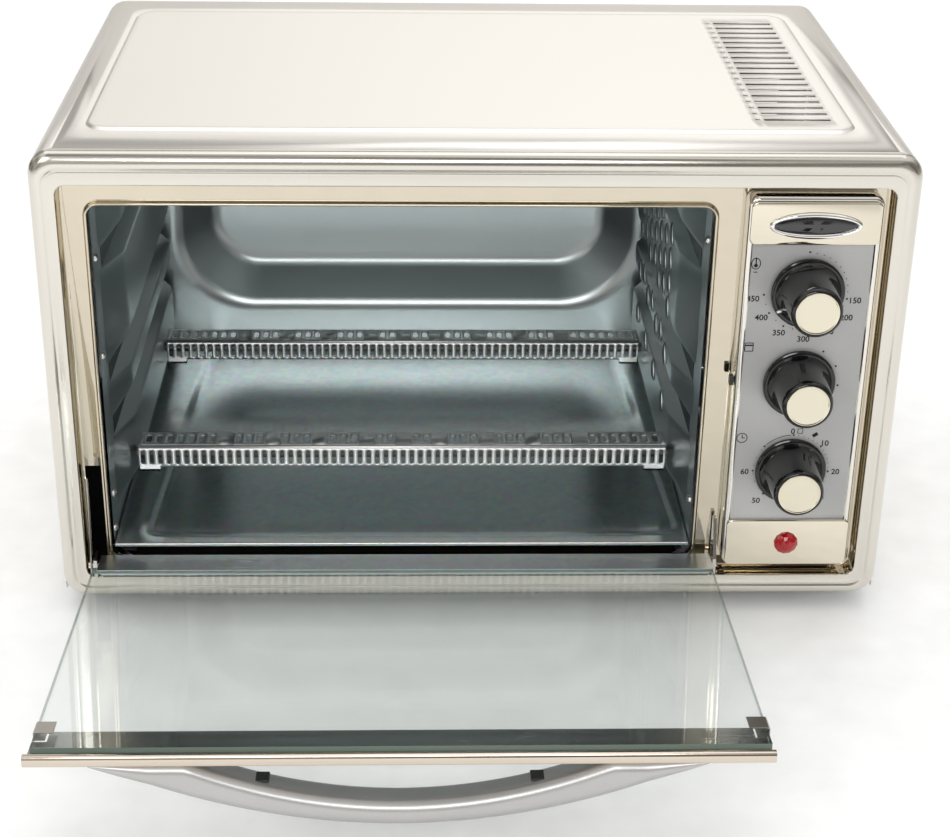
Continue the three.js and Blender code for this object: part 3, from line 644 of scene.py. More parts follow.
def hood(y, z, length=15, width=2.3, lean=62, rise=1.5):
    """A slit's hood: an almond that swells inwards and stands open along its lower edge."""
    x = CAVITY["x"][1] - FIELD_PROUD - 0.1
    across, along = math.cos(math.radians(lean)), math.sin(math.radians(lean))
    rows = []
    for level in range(5):
        up = level / 4
        row = []
        for i in range(9):
            t = i / 8 * 2 - 1
            half = width * math.sqrt(max(0.0, 1 - t * t))
            a, b = t * length / 2, half * (up - 0.5)
            swell = rise * math.sqrt(max(0.0, 1 - t * t)) * math.cos(up * math.pi / 2)
            row.append((x - swell, y + a * across - b * along, z + a * along + b * across))
        rows.append(row)
    return skin(rows, closed=False)


def shadow(y, z, length=14, width=2.2, lean=62):
    across, along = math.cos(math.radians(lean)), math.sin(math.radians(lean))
    x = CAVITY["x"][1] - FIELD_PROUD - 0.25
    ring = []
    for i in range(12):
        angle = math.tau * i / 12
        a, b = length / 2 * math.cos(angle), width / 2 * math.sin(angle) - 2.2
        ring.append((x, y + a * across - b * along, z + a * along + b * across))
    return [*ring], [tuple(range(12))]


hoods, shadows = [], []
for column in range(7):
    for row in range(9):
        y = 108 + 24 * column
        z = 82 + 16.5 * row + 7 * (column % 2)
        in_groove = any(abs(z - level) < 9 for level in (207, 133, 97))
        if z < 226 and not in_groove:
            hoods.append(hood(y, z))
            shadows.append(shadow(y, z))
piece("fan_slit_hoods", together(*hoods), hood_steel, "cabinet", crease=60, closed=False, thick=0.4)
piece("fan_slit_shadows", together(*shadows), grille_dark, "cabinet", closed=False)
print("hoods:", len(hoods))

# %% Screws of the side walls
for number, (y, z) in enumerate([(24, 214), (24, 152), (24, 60), (20, 38)]):
    screw(f"left_wall_screw_{number + 1}", CAVITY["x"][0], y, z, side=1)
for number, (y, z) in enumerate([(66, 246), (48, 234), (24, 226), (150, 75), (22, 56)]):
    screw(f"right_wall_screw_{number + 1}", CAVITY["x"][1], y, z, side=-1)

# %% [markdown]
# ## Crumb tray
# The floor that shows is a loose tray with a shallow well. Its front edge is folded to a bright
# line, and an apron with cut-off corners hangs from the fold into the bezel's recess. The apron's
# near-black steel is a painted dark reflection.

# %% Crumb tray
FLOOR_Z = 31
tray_steel = sheet_metal("tray_steel", (0.50, 0.55, 0.55), 0.22, (1, 1, 1), 200,
                         spread=0.06, drift=0.10, ripple=0.3, specks=0.2)
# The apron's near-black colour is a painted dark reflection, not a coloured steel.
apron_reflection_steel = sheet_metal("apron_painted_reflection", (0.055, 0.053, 0.052), 0.12, (1, 1, 1), 300, drift=0.05)


def tray_ring(grow, z):
    """The well's outline narrows to the back; grow moves it outwards."""
    front, back = 26 - grow, 292 + grow
    corners = [(-198 - grow, front), (126 + grow, front), (112 + grow, back), (-184 - grow, back)]
    ring = []
    for i, (x, y) in enumerate(corners):
        before, after = Vector(corners[i - 1]), Vector(corners[(i + 1) % 4])
        here = Vector((x, y))
        a, b = (before - here).normalized() * 12, (after - here).normalized() * 12
        for t in (0, 0.25, 0.5, 0.75, 1):
            bent = here + a * (1 - t) ** 2 + b * t ** 2
            ring.append((bent.x, bent.y, z))
    return ring


def tray_outline(z):
    """The same number of points on the tray's straight edge, side by side with the well's."""
    low, high = (-218.5, 11.0), (133.5, 302)
    ring = []
    for x, y, _ in tray_ring(0, z):
        near_x = low[0] if x < -36 else high[0]
        near_y = low[1] if y < 160 else high[1]
        ring.append((near_x, near_y, z))
    return ring


floor_rings = [tray_outline(FLOOR_Z - 1.4), tray_outline(FLOOR_Z), tray_ring(6, FLOOR_Z),
               tray_ring(4, FLOOR_Z - 0.2), tray_ring(1.5, FLOOR_Z - 1.2), tray_ring(0, FLOOR_Z - 1.5),
               tray_ring(-4, FLOOR_Z - 1.5)]
piece("tray_sheet", skin(floor_rings, last_cap=True), tray_steel, "cabinet", ["crumb_tray"],
      crease=60)
apron = [(-214.5, 30.4), (-214.5, 28), (-207, 22.6), (122, 22.6), (129.5, 28), (129.5, 30.4)]
piece("tray_apron", skin([[(x, y, z) for x, z in apron] for y in (11.1, 12)], True, True),
      apron_reflection_steel, "cabinet", bevel=0.25)
fold = [[(x, 11.5 + 0.75 * math.cos(math.tau * i / 12), 31.0 + 0.75 * math.sin(math.tau * i / 12))
         for i in range(12)] for x in (-218.2, 133.2)]
piece("tray_front_fold", skin(fold, True, True), screw_steel, "cabinet")
print("crumb tray: well 1.5 mm deep")

# %% [markdown]
# ## Element guards
# Each guard is a strip bent to an angle, with sixty-one slots down its face and thirty-six holes in
# groups along its top. Cutting a hundred holes with booleans is slow and leaves ragged faces, so
# the strip is made of cells instead: each cell is a ring of faces between its own edge and its slot.

# %% Perforated strips
HOLE_POINTS = 16


def stadium(u, v, width, length):
    """Points round a slot with round ends, from its right side upwards."""
    radius = width / 2
    straight = length / 2 - radius
    ring = []
    for i in range(HOLE_POINTS):
        angle = math.tau * (i + 0.5) / HOLE_POINTS
        shift = straight if math.sin(angle) > 0 else -straight
        ring.append((u + radius * math.cos(angle), v + shift + radius * math.sin(angle)))
    return ring


def cell(u0, u1, v0, v1, hole):
    """Faces between a rectangle and the hole in it."""
    u, v = (u0 + u1) / 2, (v0 + v1) / 2
    rim = []
    for i in range(HOLE_POINTS):
        angle = math.tau * (i + 0.5) / HOLE_POINTS
        c, s = math.cos(angle), math.sin(angle)
        reach = 1 / max(abs(c), abs(s))
        rim.append((u + c * reach * (u1 - u0) / 2, v + s * reach * (v1 - v0) / 2))
    corners = [(u1, v1), (u0, v1), (u0, v0), (u1, v0)]
    points = rim + hole + corners
    faces = []
    quarter = HOLE_POINTS // 4
    for i in range(HOLE_POINTS):
        j = (i + 1) % HOLE_POINTS
        faces.append((i, j, HOLE_POINTS + j, HOLE_POINTS + i))
    for k in range(4):
        before = (k * quarter + quarter // 2 - 1) % HOLE_POINTS
        faces.append((before, 2 * HOLE_POINTS + k, (before + 1) % HOLE_POINTS))
    return points, faces


guard_steel = sheet_metal("guard_steel", (0.93, 0.935, 0.93), 0.40, (0.1, 1, 1), 500, spread=0.08,
                          drift=0.08)


def guard(name, front, node):
    """Front cells stand in x and z; the top's cells lie in x and y; a bend joins the two."""
    x0, x1 = CAVITY["x"][0] + FIELD_PROUD + 1.5, CAVITY["x"][1] - FIELD_PROUD - 1.5
    z0, z1, bend = 54.8, 69.2, 1.6
    shapes = []
    pitch = (x1 - x0) / 61
    for i in range(61):
        a = x0 + i * pitch
        hole = stadium(a + pitch / 2, (z0 + z1 - bend) / 2, 2.7, 9.6)
        points, faces = cell(a, a + pitch, z0, z1 - bend, hole)
        shapes.append(([(u, front, v) for u, v in points], faces))
    groups = [7, 3, 3, 3, 2, 2, 3, 3, 3, 7]
    top_pitch = 6.7
    blank = ((x1 - x0) - 36 * top_pitch - 5) / 9
    at = x0 + 2.5
    y0, y1 = front + bend, front + 19.6
    shapes.append(([(x0, y0, z1), (at, y0, z1), (at, y1, z1), (x0, y1, z1)], [(0, 1, 2, 3)]))
    for number, holes in enumerate(groups):
        for i in range(holes):
            hole = stadium(at + top_pitch / 2, (y0 + y1) / 2, 3.7, 9.4)
            points, faces = cell(at, at + top_pitch, y0, y1, hole)
            shapes.append(([(u, v, z1) for u, v in points], faces))
            at += top_pitch
        wide = blank if number < 9 else x1 - at
        shapes.append(([(at, y0, z1), (at + wide, y0, z1), (at + wide, y1, z1), (at, y1, z1)],
                       [(0, 1, 2, 3)]))
        at += wide
    rows = []
    for step_number in range(5):
        angle = math.radians(90 * step_number / 4)
        y = front + bend * (1 - math.cos(angle))
        z = z1 - bend * (1 - math.sin(angle))
        rows.append([(x0, y, z), (x1, y, z)])
    shapes.append(skin(rows, closed=False))
    for x in (x0 + 1, x1 - 13):
        shapes.append(slab(x, x + 12, front + 0.1, front + 8, z0 - 2.8, z0 - 2.0))
        shapes.append(slab(x, x + 12, front + 0.1, front + 0.9, z0 - 2.8, z0 + 1))
    made = piece(name, together(*shapes), guard_steel, "cabinet", [node], crease=40, closed=False,
                 thick=0.5)
    print(name, "has", 61, "slots and", sum(groups), "holes")
    return made


guard("front_guard_strip", 68, "element_guard_front")
guard("rear_guard_strip", 230, "element_guard_rear")

# %% [markdown]
# ## Control panel
# The panel is a shallow tray in silver paint with a bright rolled edge. Rings give the roll, and
# the faces of the last ring take the paint while the roll keeps bare metal.

# %% Panel
PANEL = box_of(152.5, 229.5, 21.6, 261.7, 6)
panel_paint = moulding("panel_paint", (0.48, 0.477, 0.47), 0.45, 900, 0.08, flakes=0.15, drift=0.05)
edge_steel = sheet_metal("edge_steel", (0.78, 0.75, 0.70), 0.08, (1, 1, 1), 300, spread=0.03)
panel_profile = [(0.3, 13.2), (0, 12.6), (0, 3.2), (0.25, 1.7), (0.9, 0.6), (1.9, 0.05), (2.8, 0.0),
                 (3.5, 0.4), (3.8, 0.9)]
panel_stages = [(inset(PANEL, d), y) for d, y in panel_profile]


def on_face(face):
    middle = (face.center - ZERO) / MM
    return 1 if middle.y > 0.8 and len(face.vertices) > 4 else 0


piece("panel_tray", skin(front_rings(panel_stages), last_cap=True), [edge_steel, panel_paint],
      "cabinet", ["control_panel"], crease=60, pick=on_face)

# %% [markdown]
# Two polished plates lie on the panel. The upper one carries an oval trim with a plain black
# centre, and the lower one a red lens over the pilot lamp. A polished plate is never quite flat,
# and a slow ripple in its finish is what bends the reflections.

# %% Plates, oval trim and lens
plate_steel = sheet_metal("plate_steel", (0.74, 0.68, 0.56), 0.075, (1, 1, 1), 300, spread=0.03,
                          ripple=1.0)
chrome = sheet_metal("chrome_plate", (0.88, 0.87, 0.85), 0.05, (1, 1, 1), 300,
                     spread=0.02, tint=0.02)


def plate(name, box, node):
    stages = [(box, -0.1), (box, -1.0), (inset(box, 0.3), -1.4), (inset(box, 0.9), -1.58)]
    piece(name, skin(front_rings(stages), last_cap=True), plate_steel, "cabinet", [node], crease=50)


plate("upper_plate", box_of(153.8, 228.2, 233, 258.6, 3.5), "badge_plate")
plate("pilot_plate", box_of(154.4, 229, 23, 54.1, 3.5), "lower_plate")


def oval_ring(half_x, half_z, y, count=64):
    turns = [math.tau * i / count for i in range(count)]
    return [(190.8 + half_x * math.cos(a), y, 244.9 + half_z * math.sin(a)) for a in turns]


trim = [(26.5, -1.6), (26.5, -2.4), (26.0, -3.3), (25.0, -3.75), (24.2, -3.5), (23.7, -2.8),
        (23.5, -2.2)]
piece("oval_trim", skin([oval_ring(a, a - 18.6, y) for a, y in trim]), chrome, "cabinet",
      ["badge_rim"], crease=60)
black_enamel = moulding("black_enamel", (0.008, 0.008, 0.009), 0.16, 300, 0.02, coat=1.0)
centre = [(23.6, -1.7), (23.5, -2.2), (22.0, -2.55), (16.0, -2.7), (8.0, -2.75)]
piece("oval_centre", skin([oval_ring(a, max(a - 18.6, 1.2), y) for a, y in centre], last_cap=True),
      black_enamel, "cabinet", ["badge_insert"], crease=60)

red_plastic = moulding("red_plastic", (0.30, 0.002, 0.004), 0.14, 500, 0.05, coat=0.3)
# The lens's faint emission is painted light: the pilot lamp behind it gives none.
red_plastic.give(Emission_Color=(0.5, 0.01, 0.01), Emission_Strength=0.04)
lens = [(7.3, 1.7), (7.3, 2.6), (6.6, 3.3), (5.4, 4.4), (3.6, 5.5), (1.6, 6.1), (0.05, 6.2)]
facets = []
for ring_number, (radius, height) in enumerate(lens):
    ring = []
    for i in range(24):
        angle = math.tau * (i + 0.5 * (ring_number % 2)) / 24
        ripple = 1 - 0.035 * (i % 2)
        ring.append((191.4 + radius * ripple * math.sin(angle), -height + 0.1,
                     38.5 + radius * ripple * math.cos(angle)))
    facets.append(ring)
piece("pilot_lens_facets", skin(facets, True, True), red_plastic, "cabinet", ["pilot_lens"],
      crease=4)
print("panel, plates and lens done")

# %% [markdown]
# ## Scales and numbers
# Only the numbers and dots of the three scales are printed, with three plain pictograms. Printing
# is a film of paint, so each mark is a sheet of faces a tenth of a millimetre above the panel. Text
# objects give the figures: they are turned into meshes, so they end as geometry like the rest.

# %% Printing on the panel
print_black = moulding("print_black", (0.006, 0.006, 0.007), 0.7, 400, 0.05)
PRINT_Y = 0.8
KNOB_X = 189.9
DIALS = {"temperature": (189.4, 203.5), "function": (189.9, 146.1), "timer": (190.4, 88.3)}


def disc(x, z, radius, count=14):
    turns = [math.tau * i / count for i in range(count)]
    ring = [(x + radius * math.cos(a), PRINT_Y, z + radius * math.sin(a)) for a in turns]
    return ring, [tuple(range(count))]


def stroke(points, width=0.6):
    """A line of even width through points."""
    shapes = []
    for (x0, z0), (x1, z1) in zip(points, points[1:]):
        along = Vector((x1 - x0, z1 - z0)).normalized() * width / 2
        side = Vector((-along.y, along.x))
        corners = [(x0 + side.x, z0 + side.y), (x0 - side.x, z0 - side.y),
                   (x1 - side.x, z1 - side.y), (x1 + side.x, z1 + side.y)]
        shapes.append(([(x, PRINT_Y, z) for x, z in corners], [(0, 1, 2, 3)]))
    return together(*shapes)


def round_dial(dial, angle, radius):
    x, z = DIALS[dial]
    return x + radius * math.sin(math.radians(angle)), z + radius * math.cos(math.radians(angle))


marks = []
for angle in [0, 100.3, 125, 152, 180, 207.9, 236.9, 265.5]:
    marks.append(disc(*round_dial("temperature", angle, 24.4), 0.62))
for angle in list(range(10, 94, 10)) + [112, 138, 166, 194, 222, 251]:
    marks.append(disc(*round_dial("temperature", angle, 24.0), 0.34))
for angle in (33.4, 64.1, 95.2, 126, 157):
    marks.append(disc(*round_dial("function", angle, 23.6), 0.62))
for angle in (0, 48, 94, 139, 180, 222, 267, 312):
    marks.append(disc(*round_dial("timer", angle, 22.8), 0.62))
for angle in list(range(8, 130, 8)) + list(range(150, 312, 14)):
    marks.append(disc(*round_dial("timer", angle, 22.6), 0.28))
marks.append(stroke([round_dial("timer", angle, 22.8) for angle in range(316, 358, 5)], 0.4))

thermometer = [(159 + 2.6 * math.cos(math.radians(a)), 220.8 + 3.4 * math.sin(math.radians(a)))
               for a in range(0, 361, 30)]
marks += [stroke(thermometer, 0.5), disc(159, 219.6, 1.1), stroke([(159, 219.6), (159, 224.6)], 0.7),
          stroke([(157.8, 215.6), (160.2, 215.6)], 0.5)]
marks += [stroke([(156.6, 171.2), (161.4, 171.2), (161.4, 166), (156.6, 166), (156.6, 171.2)], 0.5),
          stroke([(156.6, 169.7), (161.4, 169.7)], 0.9)]
clock = [(159.5 + 3.1 * math.cos(math.radians(a)), 109.2 + 3.1 * math.sin(math.radians(a)))
         for a in range(0, 361, 24)]
marks += [stroke(clock, 0.5), stroke([(159.5, 111.4), (159.5, 109.2), (161.2, 109.2)], 0.5)]
marks += [stroke([(192.6, 112.2), (192.6, 115.2), (195.6, 115.4), (195.4, 112.2), (192.6, 112.2)], 0.4),
          stroke([(201.8, 110.3), (204.6, 112.2)], 2.2)]
piece("scale_dots", together(*marks), print_black, "cabinet", closed=False)


def figure(name, text, x, z, size=5.0):
    curve = bpy.data.curves.new(name, "FONT")
    curve.body = text
    curve.size = size
    curve.align_x = "CENTER"
    curve.align_y = "CENTER"
    curve.resolution_u = 4
    curve.offset = 0.09
    lettering = bpy.data.objects.new(name + "_outline", curve)
    bpy.context.scene.collection.objects.link(lettering)
    bpy.context.view_layer.update()
    mesh = bpy.data.meshes.new_from_object(lettering.evaluated_get(bpy.context.evaluated_depsgraph_get()))
    points = [(x + v.co.x, PRINT_Y, z + v.co.y) for v in mesh.vertices]
    faces = [tuple(face.vertices) for face in mesh.polygons]
    bpy.data.objects.remove(lettering)
    return piece(name, (points, faces), print_black, "cabinet", closed=False)


FIGURES = [("150", 218.1, 197.9), ("200", 214.2, 187.2), ("250", 204.0, 178.4), ("300", 190.3, 173.6),
           ("350", 175.6, 177.6), ("400", 164.7, 187.2), ("450", 158.9, 199.0),
           ("0", 189.7, 113.4), ("10", 209.4, 105.5), ("20", 217.7, 86.2), ("30", 209.8, 68.6),
           ("40", 191.0, 61.4), ("50", 171.2, 66.5), ("60", 162.8, 86.3)]
for number, (text, x, z) in enumerate(FIGURES):
    figure(f"figure_{number + 1:02d}_{text}", text, x, z)
print("printed", len(marks), "marks and", len(FIGURES), "figures")

# %% [markdown]
# ## Knobs
# A knob is turned: a rim ring on the skirt, a hollow sweep up to the grip, and a flat cap of
# polished metal with a fine raised rim. The lathe profile is spun with enough sides to stay round
# in the closest view. Gloss black shows mostly reflections, so its own colour is nearly nothing.

# %% Turn the knobs
knob_black = moulding("knob_black", (0.004, 0.004, 0.0045), 0.09, 260, 0.006, drift=0.03)
knob_black.give(Specular_IOR_Level=0.6)
cap_metal = sheet_metal("cap_metal", (0.72, 0.67, 0.54), 0.12, (1, 1, 1), 250,
                        spread=0.04, ripple=0.9)
pointer_white = moulding("pointer_white", (0.8, 0.8, 0.78), 0.4)
brass = sheet_metal("turned_brass", (0.71, 0.53, 0.24), 0.28, (1, 0.02, 1), 500)

knob_profile = [(3.4, 0.9), (20.6, 0.9), (21.3, 1.4), (21.4, 2.2), (21.1, 3.0), (20.4, 3.4), (19.6, 3.25),
                (19.0, 3.4), (18.2, 4.6), (17.2, 6.6), (16.5, 9.0), (16.0, 12.0), (15.6, 16.0),
                (15.2, 22.0), (14.9, 27.5), (14.85, 29.2), (14.5, 30.8), (13.7, 31.7), (13.1, 31.9),
                (12.9, 31.3)]
cap_profile = [(12.7, 31.0), (12.7, 31.9), (12.4, 32.2), (11.9, 32.15), (11.6, 31.95), (11.2, 31.95),
               (0.05, 31.95)]
KNOB_TURNS = {"temperature": (203.6, 237), "function": (146.1, 157), "timer": (88.4, 139)}
for dial, (z, pointer) in KNOB_TURNS.items():
    body = f"{dial}_control"
    piece(f"{dial}_grip", turned(knob_profile, KNOB_X, 0, z, 96), knob_black, body, [f"{dial}_knob"],
          crease=34)
    piece(f"{dial}_cap", turned(cap_profile, KNOB_X, 0, z, 72), cap_metal, body,
          [f"{dial}_knob_cap"], crease=50)
    turn = math.radians(pointer)
    sin, cos = math.sin(turn), math.cos(turn)
    corners = []
    for along, aside, height in ((18.0, -0.5, 5.2), (18.0, 0.5, 5.2),
                                 (20.6, 0.6, 3.6), (20.6, -0.6, 3.6)):
        corners.append((KNOB_X + along * sin + aside * cos, -height, z + along * cos - aside * sin))
    lifted = [(x, y + 1.2, z0) for x, y, z0 in corners]
    piece(f"{dial}_pointer", skin([corners, lifted], True, True), pointer_white, body)
    dress(brass, f"{dial}_shaft")
    print(dial, "knob turned, pointer at", pointer, "degrees")

# %% [markdown]
# ## The door
# The door is drawn shut, in its own upright frame, and laid open by the ruler's second function.
# A grey bottom rail grips the glass, a polished rail caps its top edge, and two folded clips sit
# just below that. The rails are bent sheet, so each is a profile drawn from the side and pulled
# along x, with a small bevel where a fold would be round.

# %% Rails of the door
def pulled(profile, x0, x1):
    return skin([[(x, y, z) for y, z in profile] for x in (x0, x1)], True, True)


def door_piece(name, shape, finish, nodes=(), **options):
    return piece(name, shape, finish, "door", nodes, place=door_spot, **options)


rail_steel = sheet_metal("rail_steel", (0.50, 0.53, 0.54), 0.30, (0.05, 1, 1), 500, spread=0.10,
                         drift=0.10, ripple=0.2, specks=0.15)
# The top rail's brown tone is partly the steel's own and partly a painted warm reflection.
top_rail_warm_reflection_steel = sheet_metal("top_rail_warm_reflection_steel", (0.66, 0.58, 0.49), 0.10, (0.02, 1, 1), 500,
                             spread=0.06, drift=0.05, ripple=0.5)
flange_grey = sheet_metal("flange_steel", (0.34, 0.345, 0.34), 0.26, (0.05, 1, 1), 500)

RAIL_X = (-226.4, 146.0)
heel = [(-4.4, -0.6), (-4.4, 5.6), (0.1, 6.4), (0.1, 13.0), (0.7, 13.4), (5.2, 13.4), (5.6, 13.9),
        (5.6, 20.4), (6.4, 21.0), (6.4, -1.0)]
end_tab = [(-4.4, -3.6), (-4.4, -0.8), (5.2, -0.8), (5.2, -3.6)]
door_piece("bottom_rail_sheet", pulled(heel, *RAIL_X), rail_steel, ["door_bottom_rail"], bevel=0.35)
for side, x0, x1 in (("left", RAIL_X[0], RAIL_X[0] + 20), ("right", RAIL_X[1] - 20, RAIL_X[1])):
    door_piece(f"bottom_rail_tab_{side}", pulled(end_tab, x0, x1), rail_steel, bevel=0.3)

DOOR_EDGE = 234.6
rolled = [(-1.2, 225.9), (-1.2, DOOR_EDGE - 1.6), (-0.7, DOOR_EDGE - 0.5), (0.3, DOOR_EDGE),
          (3.8, DOOR_EDGE), (4.8, DOOR_EDGE - 0.6), (5.2, DOOR_EDGE - 1.7), (5.2, DOOR_EDGE - 3.2),
          (4.4, DOOR_EDGE - 4.6), (0.9, 225.9)]
door_piece("top_rail_roll", pulled(rolled, -231.8, 146.6), top_rail_warm_reflection_steel, ["door_top_rail"],
           crease=40, bevel=0.2)
flange = together(slab(-231.2, 146.0, -1.2, 0.4, 211, 226),
                  slab(-223.5, 139.9, -1.2, 0.4, 201, 211.4))
door_piece("top_rail_flange", flange, flange_grey, bevel=0.3)

# %% [markdown]
# Clear tempered glass is mostly seen by what it mirrors and by its green edges. A shader that
# bends light would throw a hard shadow and hide what is below, so the pane mixes a faintly tinted
# see-through with a thin gloss, which grows with the fifth power of the slant, as on real glass.
# The edges get a denser green of their own.

# %% Door glass
def clear_glass():
    paint = Paint("door_glass_clear")
    tree = paint.tree
    smears = paint.noise(5, (0.5, 5, 1), detail=4)
    haze = paint.noise(60, detail=3)
    through = paint.node("ShaderNodeBsdfTransparent", None, {"Color": (0.975, 0.985, 0.98, 1)})
    gloss = paint.node("ShaderNodeBsdfGlossy", None,
                       {"Color": (0.95, 0.98, 0.97, 1), "Roughness": 0.015 + haze * 0.02})
    slant = paint.node("ShaderNodeLayerWeight", None, {"Blend": 0.5}, output="Facing")
    share = 0.045 + slant * slant * slant * slant * slant * 0.9 + smears * 0.03
    mixed = paint.node("ShaderNodeMixShader", None, {0: share, 1: through, 2: gloss})
    tree.links.new(mixed.socket, tree.nodes["Material Output"].inputs["Surface"])
    tree.nodes.remove(paint.shader)
    return paint


glass_clear = clear_glass()
glass_edge = moulding("glass_edge", (0.10, 0.16, 0.14), 0.15, 300, 0.02, coat=1.0)
GLASS = {"x": (-229.4, 145.8), "y": (0.9, 4.9), "z": (14, 225)}


def at_edge(face):
    across = Matrix.Rotation(-DOOR_OPEN, 3, "X") @ face.normal
    return 0 if abs(across.y) > 0.9 else 1


door_piece("glass_pane", slab(*GLASS["x"], *GLASS["y"], *GLASS["z"]), [glass_clear, glass_edge],
           ["door_glass"], pick=at_edge)

# %% [markdown]
# ## The handle
# The handle is a bow of painted metal. Its outer and inner outlines are two shallow curves that
# meet the rail at different widths, so it is thickest where it lands. It is lofted from rounded
# sections along x, which keeps its highlight broad and unbroken.

# %% Handle bow
handle_paint = moulding("handle_paint", (0.50, 0.495, 0.49), 0.33, 1200, 0.05,
                        flakes=0.75, drift=0.04)
BOW_X, BOW_LOW, BOW_HIGH = -43.4, 212, 232
BOW_OUTER, BOW_INNER = (158, 39), (108, 24.5)
BOW_SEAT = -1.7


def bow_depth(half_and_depth, x):
    half, depth = half_and_depth
    return BOW_SEAT - (depth + BOW_SEAT) * max(0.0, 1 - (x / half) ** 2)


stations = [-156.5 + 313 * i / 72 for i in range(73)]
bow_rings = []
for x in stations:
    outer, inner = bow_depth(BOW_OUTER, x), bow_depth(BOW_INNER, x)
    inner = min(inner, BOW_SEAT)
    radius = min(6.5, (inner - outer) * 0.48)
    section = corner_ring(box_of(outer, inner, BOW_LOW, BOW_HIGH, radius), 7)
    bow_rings.append([(BOW_X + x, y, z) for y, z in section])
door_piece("handle_bow", skin(bow_rings, True, True), handle_paint, ["door_handle"], crease=60)

black_matt = moulding("black_moulding", (0.018, 0.018, 0.02), 0.5, 500, 0.2)
for side, offset in (("left", -70), ("right", 70)):
    seat = bow_depth(BOW_INNER, offset)
    shape = slab(BOW_X + offset - 3.6, BOW_X + offset + 3.6, seat - 0.5, seat + 1.2, 217.5, 226.5)
    door_piece(f"handle_stop_{side}", shape, black_matt, [f"handle_insert_{side}"], bevel=0.7)
print("handle:", len(stations), "sections")

# %% [markdown]
# Each clip is a strip folded round the glass's edge. Its path is drawn once from above and mirrored
# by a sign, so that both clips come from the same numbers.

# %% Clips on the glass
clip_steel = sheet_metal("clip_steel", (0.42, 0.40, 0.37), 0.24, (1, 1, 1), 300)
for side, edge, sign in (("left", GLASS["x"][0], 1), ("right", GLASS["x"][1], -1)):
    fold_path = [(9.5, 5.25), (-0.4, 5.25), (-0.9, 4.9), (-0.9, 0.9), (-0.4, 0.5), (5.0, 0.5)]
    rows = [[(edge + sign * a, b, z) for a, b in fold_path] for z in (199, 201, 208.5, 210.6)]
    door_piece(f"clip_fold_{side}", skin(rows, closed=False), clip_steel, [f"glass_clip_{side}"],
               thick=0.6, closed=False, bevel=0.15)
dress(chrome, "hinge_pin_left", "hinge_pin_right")

# %% [markdown]
# Light from the room would leak into the casing and shine out through the lever's slot. A box of
# thin black sheet, open only to the slot, closes the space behind it. Its black is painted shade for
# the unlit inside of the casing.

# %% Shroud of painted shade behind the lever's slot
SHROUD_X, SHROUD_Y, SHROUD_Z = (-247, -221.8), (17, 78.8), (5, 112)
BACK_Y, LID_Z, FLOOR_TOP_Z = 78, 111.4, 5.8
LEFT_SHEET, RIGHT_SHEET = (-247.4, -246.8), (-222.2, -221.8)
shroud = together(slab(*SHROUD_X, BACK_Y, SHROUD_Y[1], *SHROUD_Z),
                  slab(*SHROUD_X, SHROUD_Y[0], BACK_Y, SHROUD_Z[0], FLOOR_TOP_Z),
                  slab(*LEFT_SHEET, *SHROUD_Y, *SHROUD_Z), slab(*RIGHT_SHEET, *SHROUD_Y, *SHROUD_Z),
                  slab(*SHROUD_X, *SHROUD_Y, LID_Z, SHROUD_Z[1]))
piece("arm_slot_shade_shroud", shroud, black_matt, "cabinet")
print("shroud closes the space behind the slot")

# %% [markdown]
# The lever on the hinge is a bent strip with rounded edges, and it shines in its dark slot. A
# strip with a gentle S that narrows to its tip is lofted from short rounded sections.

# %% Hinge lever and brackets
rest_turn = Matrix.Rotation(-DOOR_OPEN, 3, "X")
lever_rings = []
for i in range(15):
    t = i / 14
    y, z = 5.5 * math.sin(t * 1.5), -3 + 61 * t
    half = 3.6 - 1.5 * t + 1.6 * math.exp(-((t - 0.05) * 9) ** 2)
    ring = []
    for k in range(12):
        angle = math.tau * k / 12
        local = rest_turn @ Vector((0, y + half * math.cos(angle), z))
        ring.append((-232.2 + 0.95 * math.sin(angle), local.y, local.z))
    lever_rings.append(ring)
door_piece("lever_strip", skin(lever_rings, True, True), chrome, ["door_lever"], crease=60)
bracket_steel = sheet_metal("bracket_steel", (0.62, 0.60, 0.57), 0.16, (1, 1, 1), 300)
dress(bracket_steel, "hinge_bracket_left", "hinge_bracket_right")

# %% [markdown]
# ## Pieces that keep their solids
# Rubber feet, the base, the fan, the elements and the switches behind the panel are hidden or
# plain, and their solids already have the right form. Each gets the finish of its real material.

# %% Dress the rest
rubber = moulding("foot_rubber", (0.025, 0.025, 0.025), 0.8, 500, 0.3)
ceramic = moulding("ceramic_block", (0.72, 0.70, 0.64), 0.6, 300, 0.15)
sheath = sheet_metal("element_sheath", (0.22, 0.215, 0.21), 0.42, (0.02, 1, 1), 300, spread=0.15)
lamp = moulding("lamp_tip", (0.7, 0.3, 0.12), 0.2, coat=1.0)
dress(rubber, "foot_front_left", "foot_front_right", "foot_rear_left", "foot_rear_right")
dress(galvanised, "base_pan", "fan_housing", "fan_blade", "door_spring")
dress(lining, "cavity_top", "cavity_floor")
dress(black_matt, "cord_gland", "fan_motor", "function_switch", "timer", "panel_side_catch")
dress(ceramic, "thermostat")
dress(lamp, "pilot_lamp")
dress(sheath, "lower_front_element", "lower_rear_element", "upper_front_element",
      "upper_rear_element")
shown = [name for name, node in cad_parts.items() if not node.hide_render]
print("solids still showing:", len(shown))

# %% [markdown]
# ## Table, camera and light
# Bare metal has no colour of its own to speak of: it shows the room. So the light is most of the
# finish here. A pale table and a pale room keep the picture plain, and four large soft lamps, one
# overhead, two in front and one behind, draw the highlights. To a mirror ray the room is darker
# and warmer, with soft dark patches, so that polished steel does not turn white. The rest of the
# warm tone is painted warm reflection, put into the colour of the recess steel and of the door's
# top rail, so it stays with the oven in any other room.

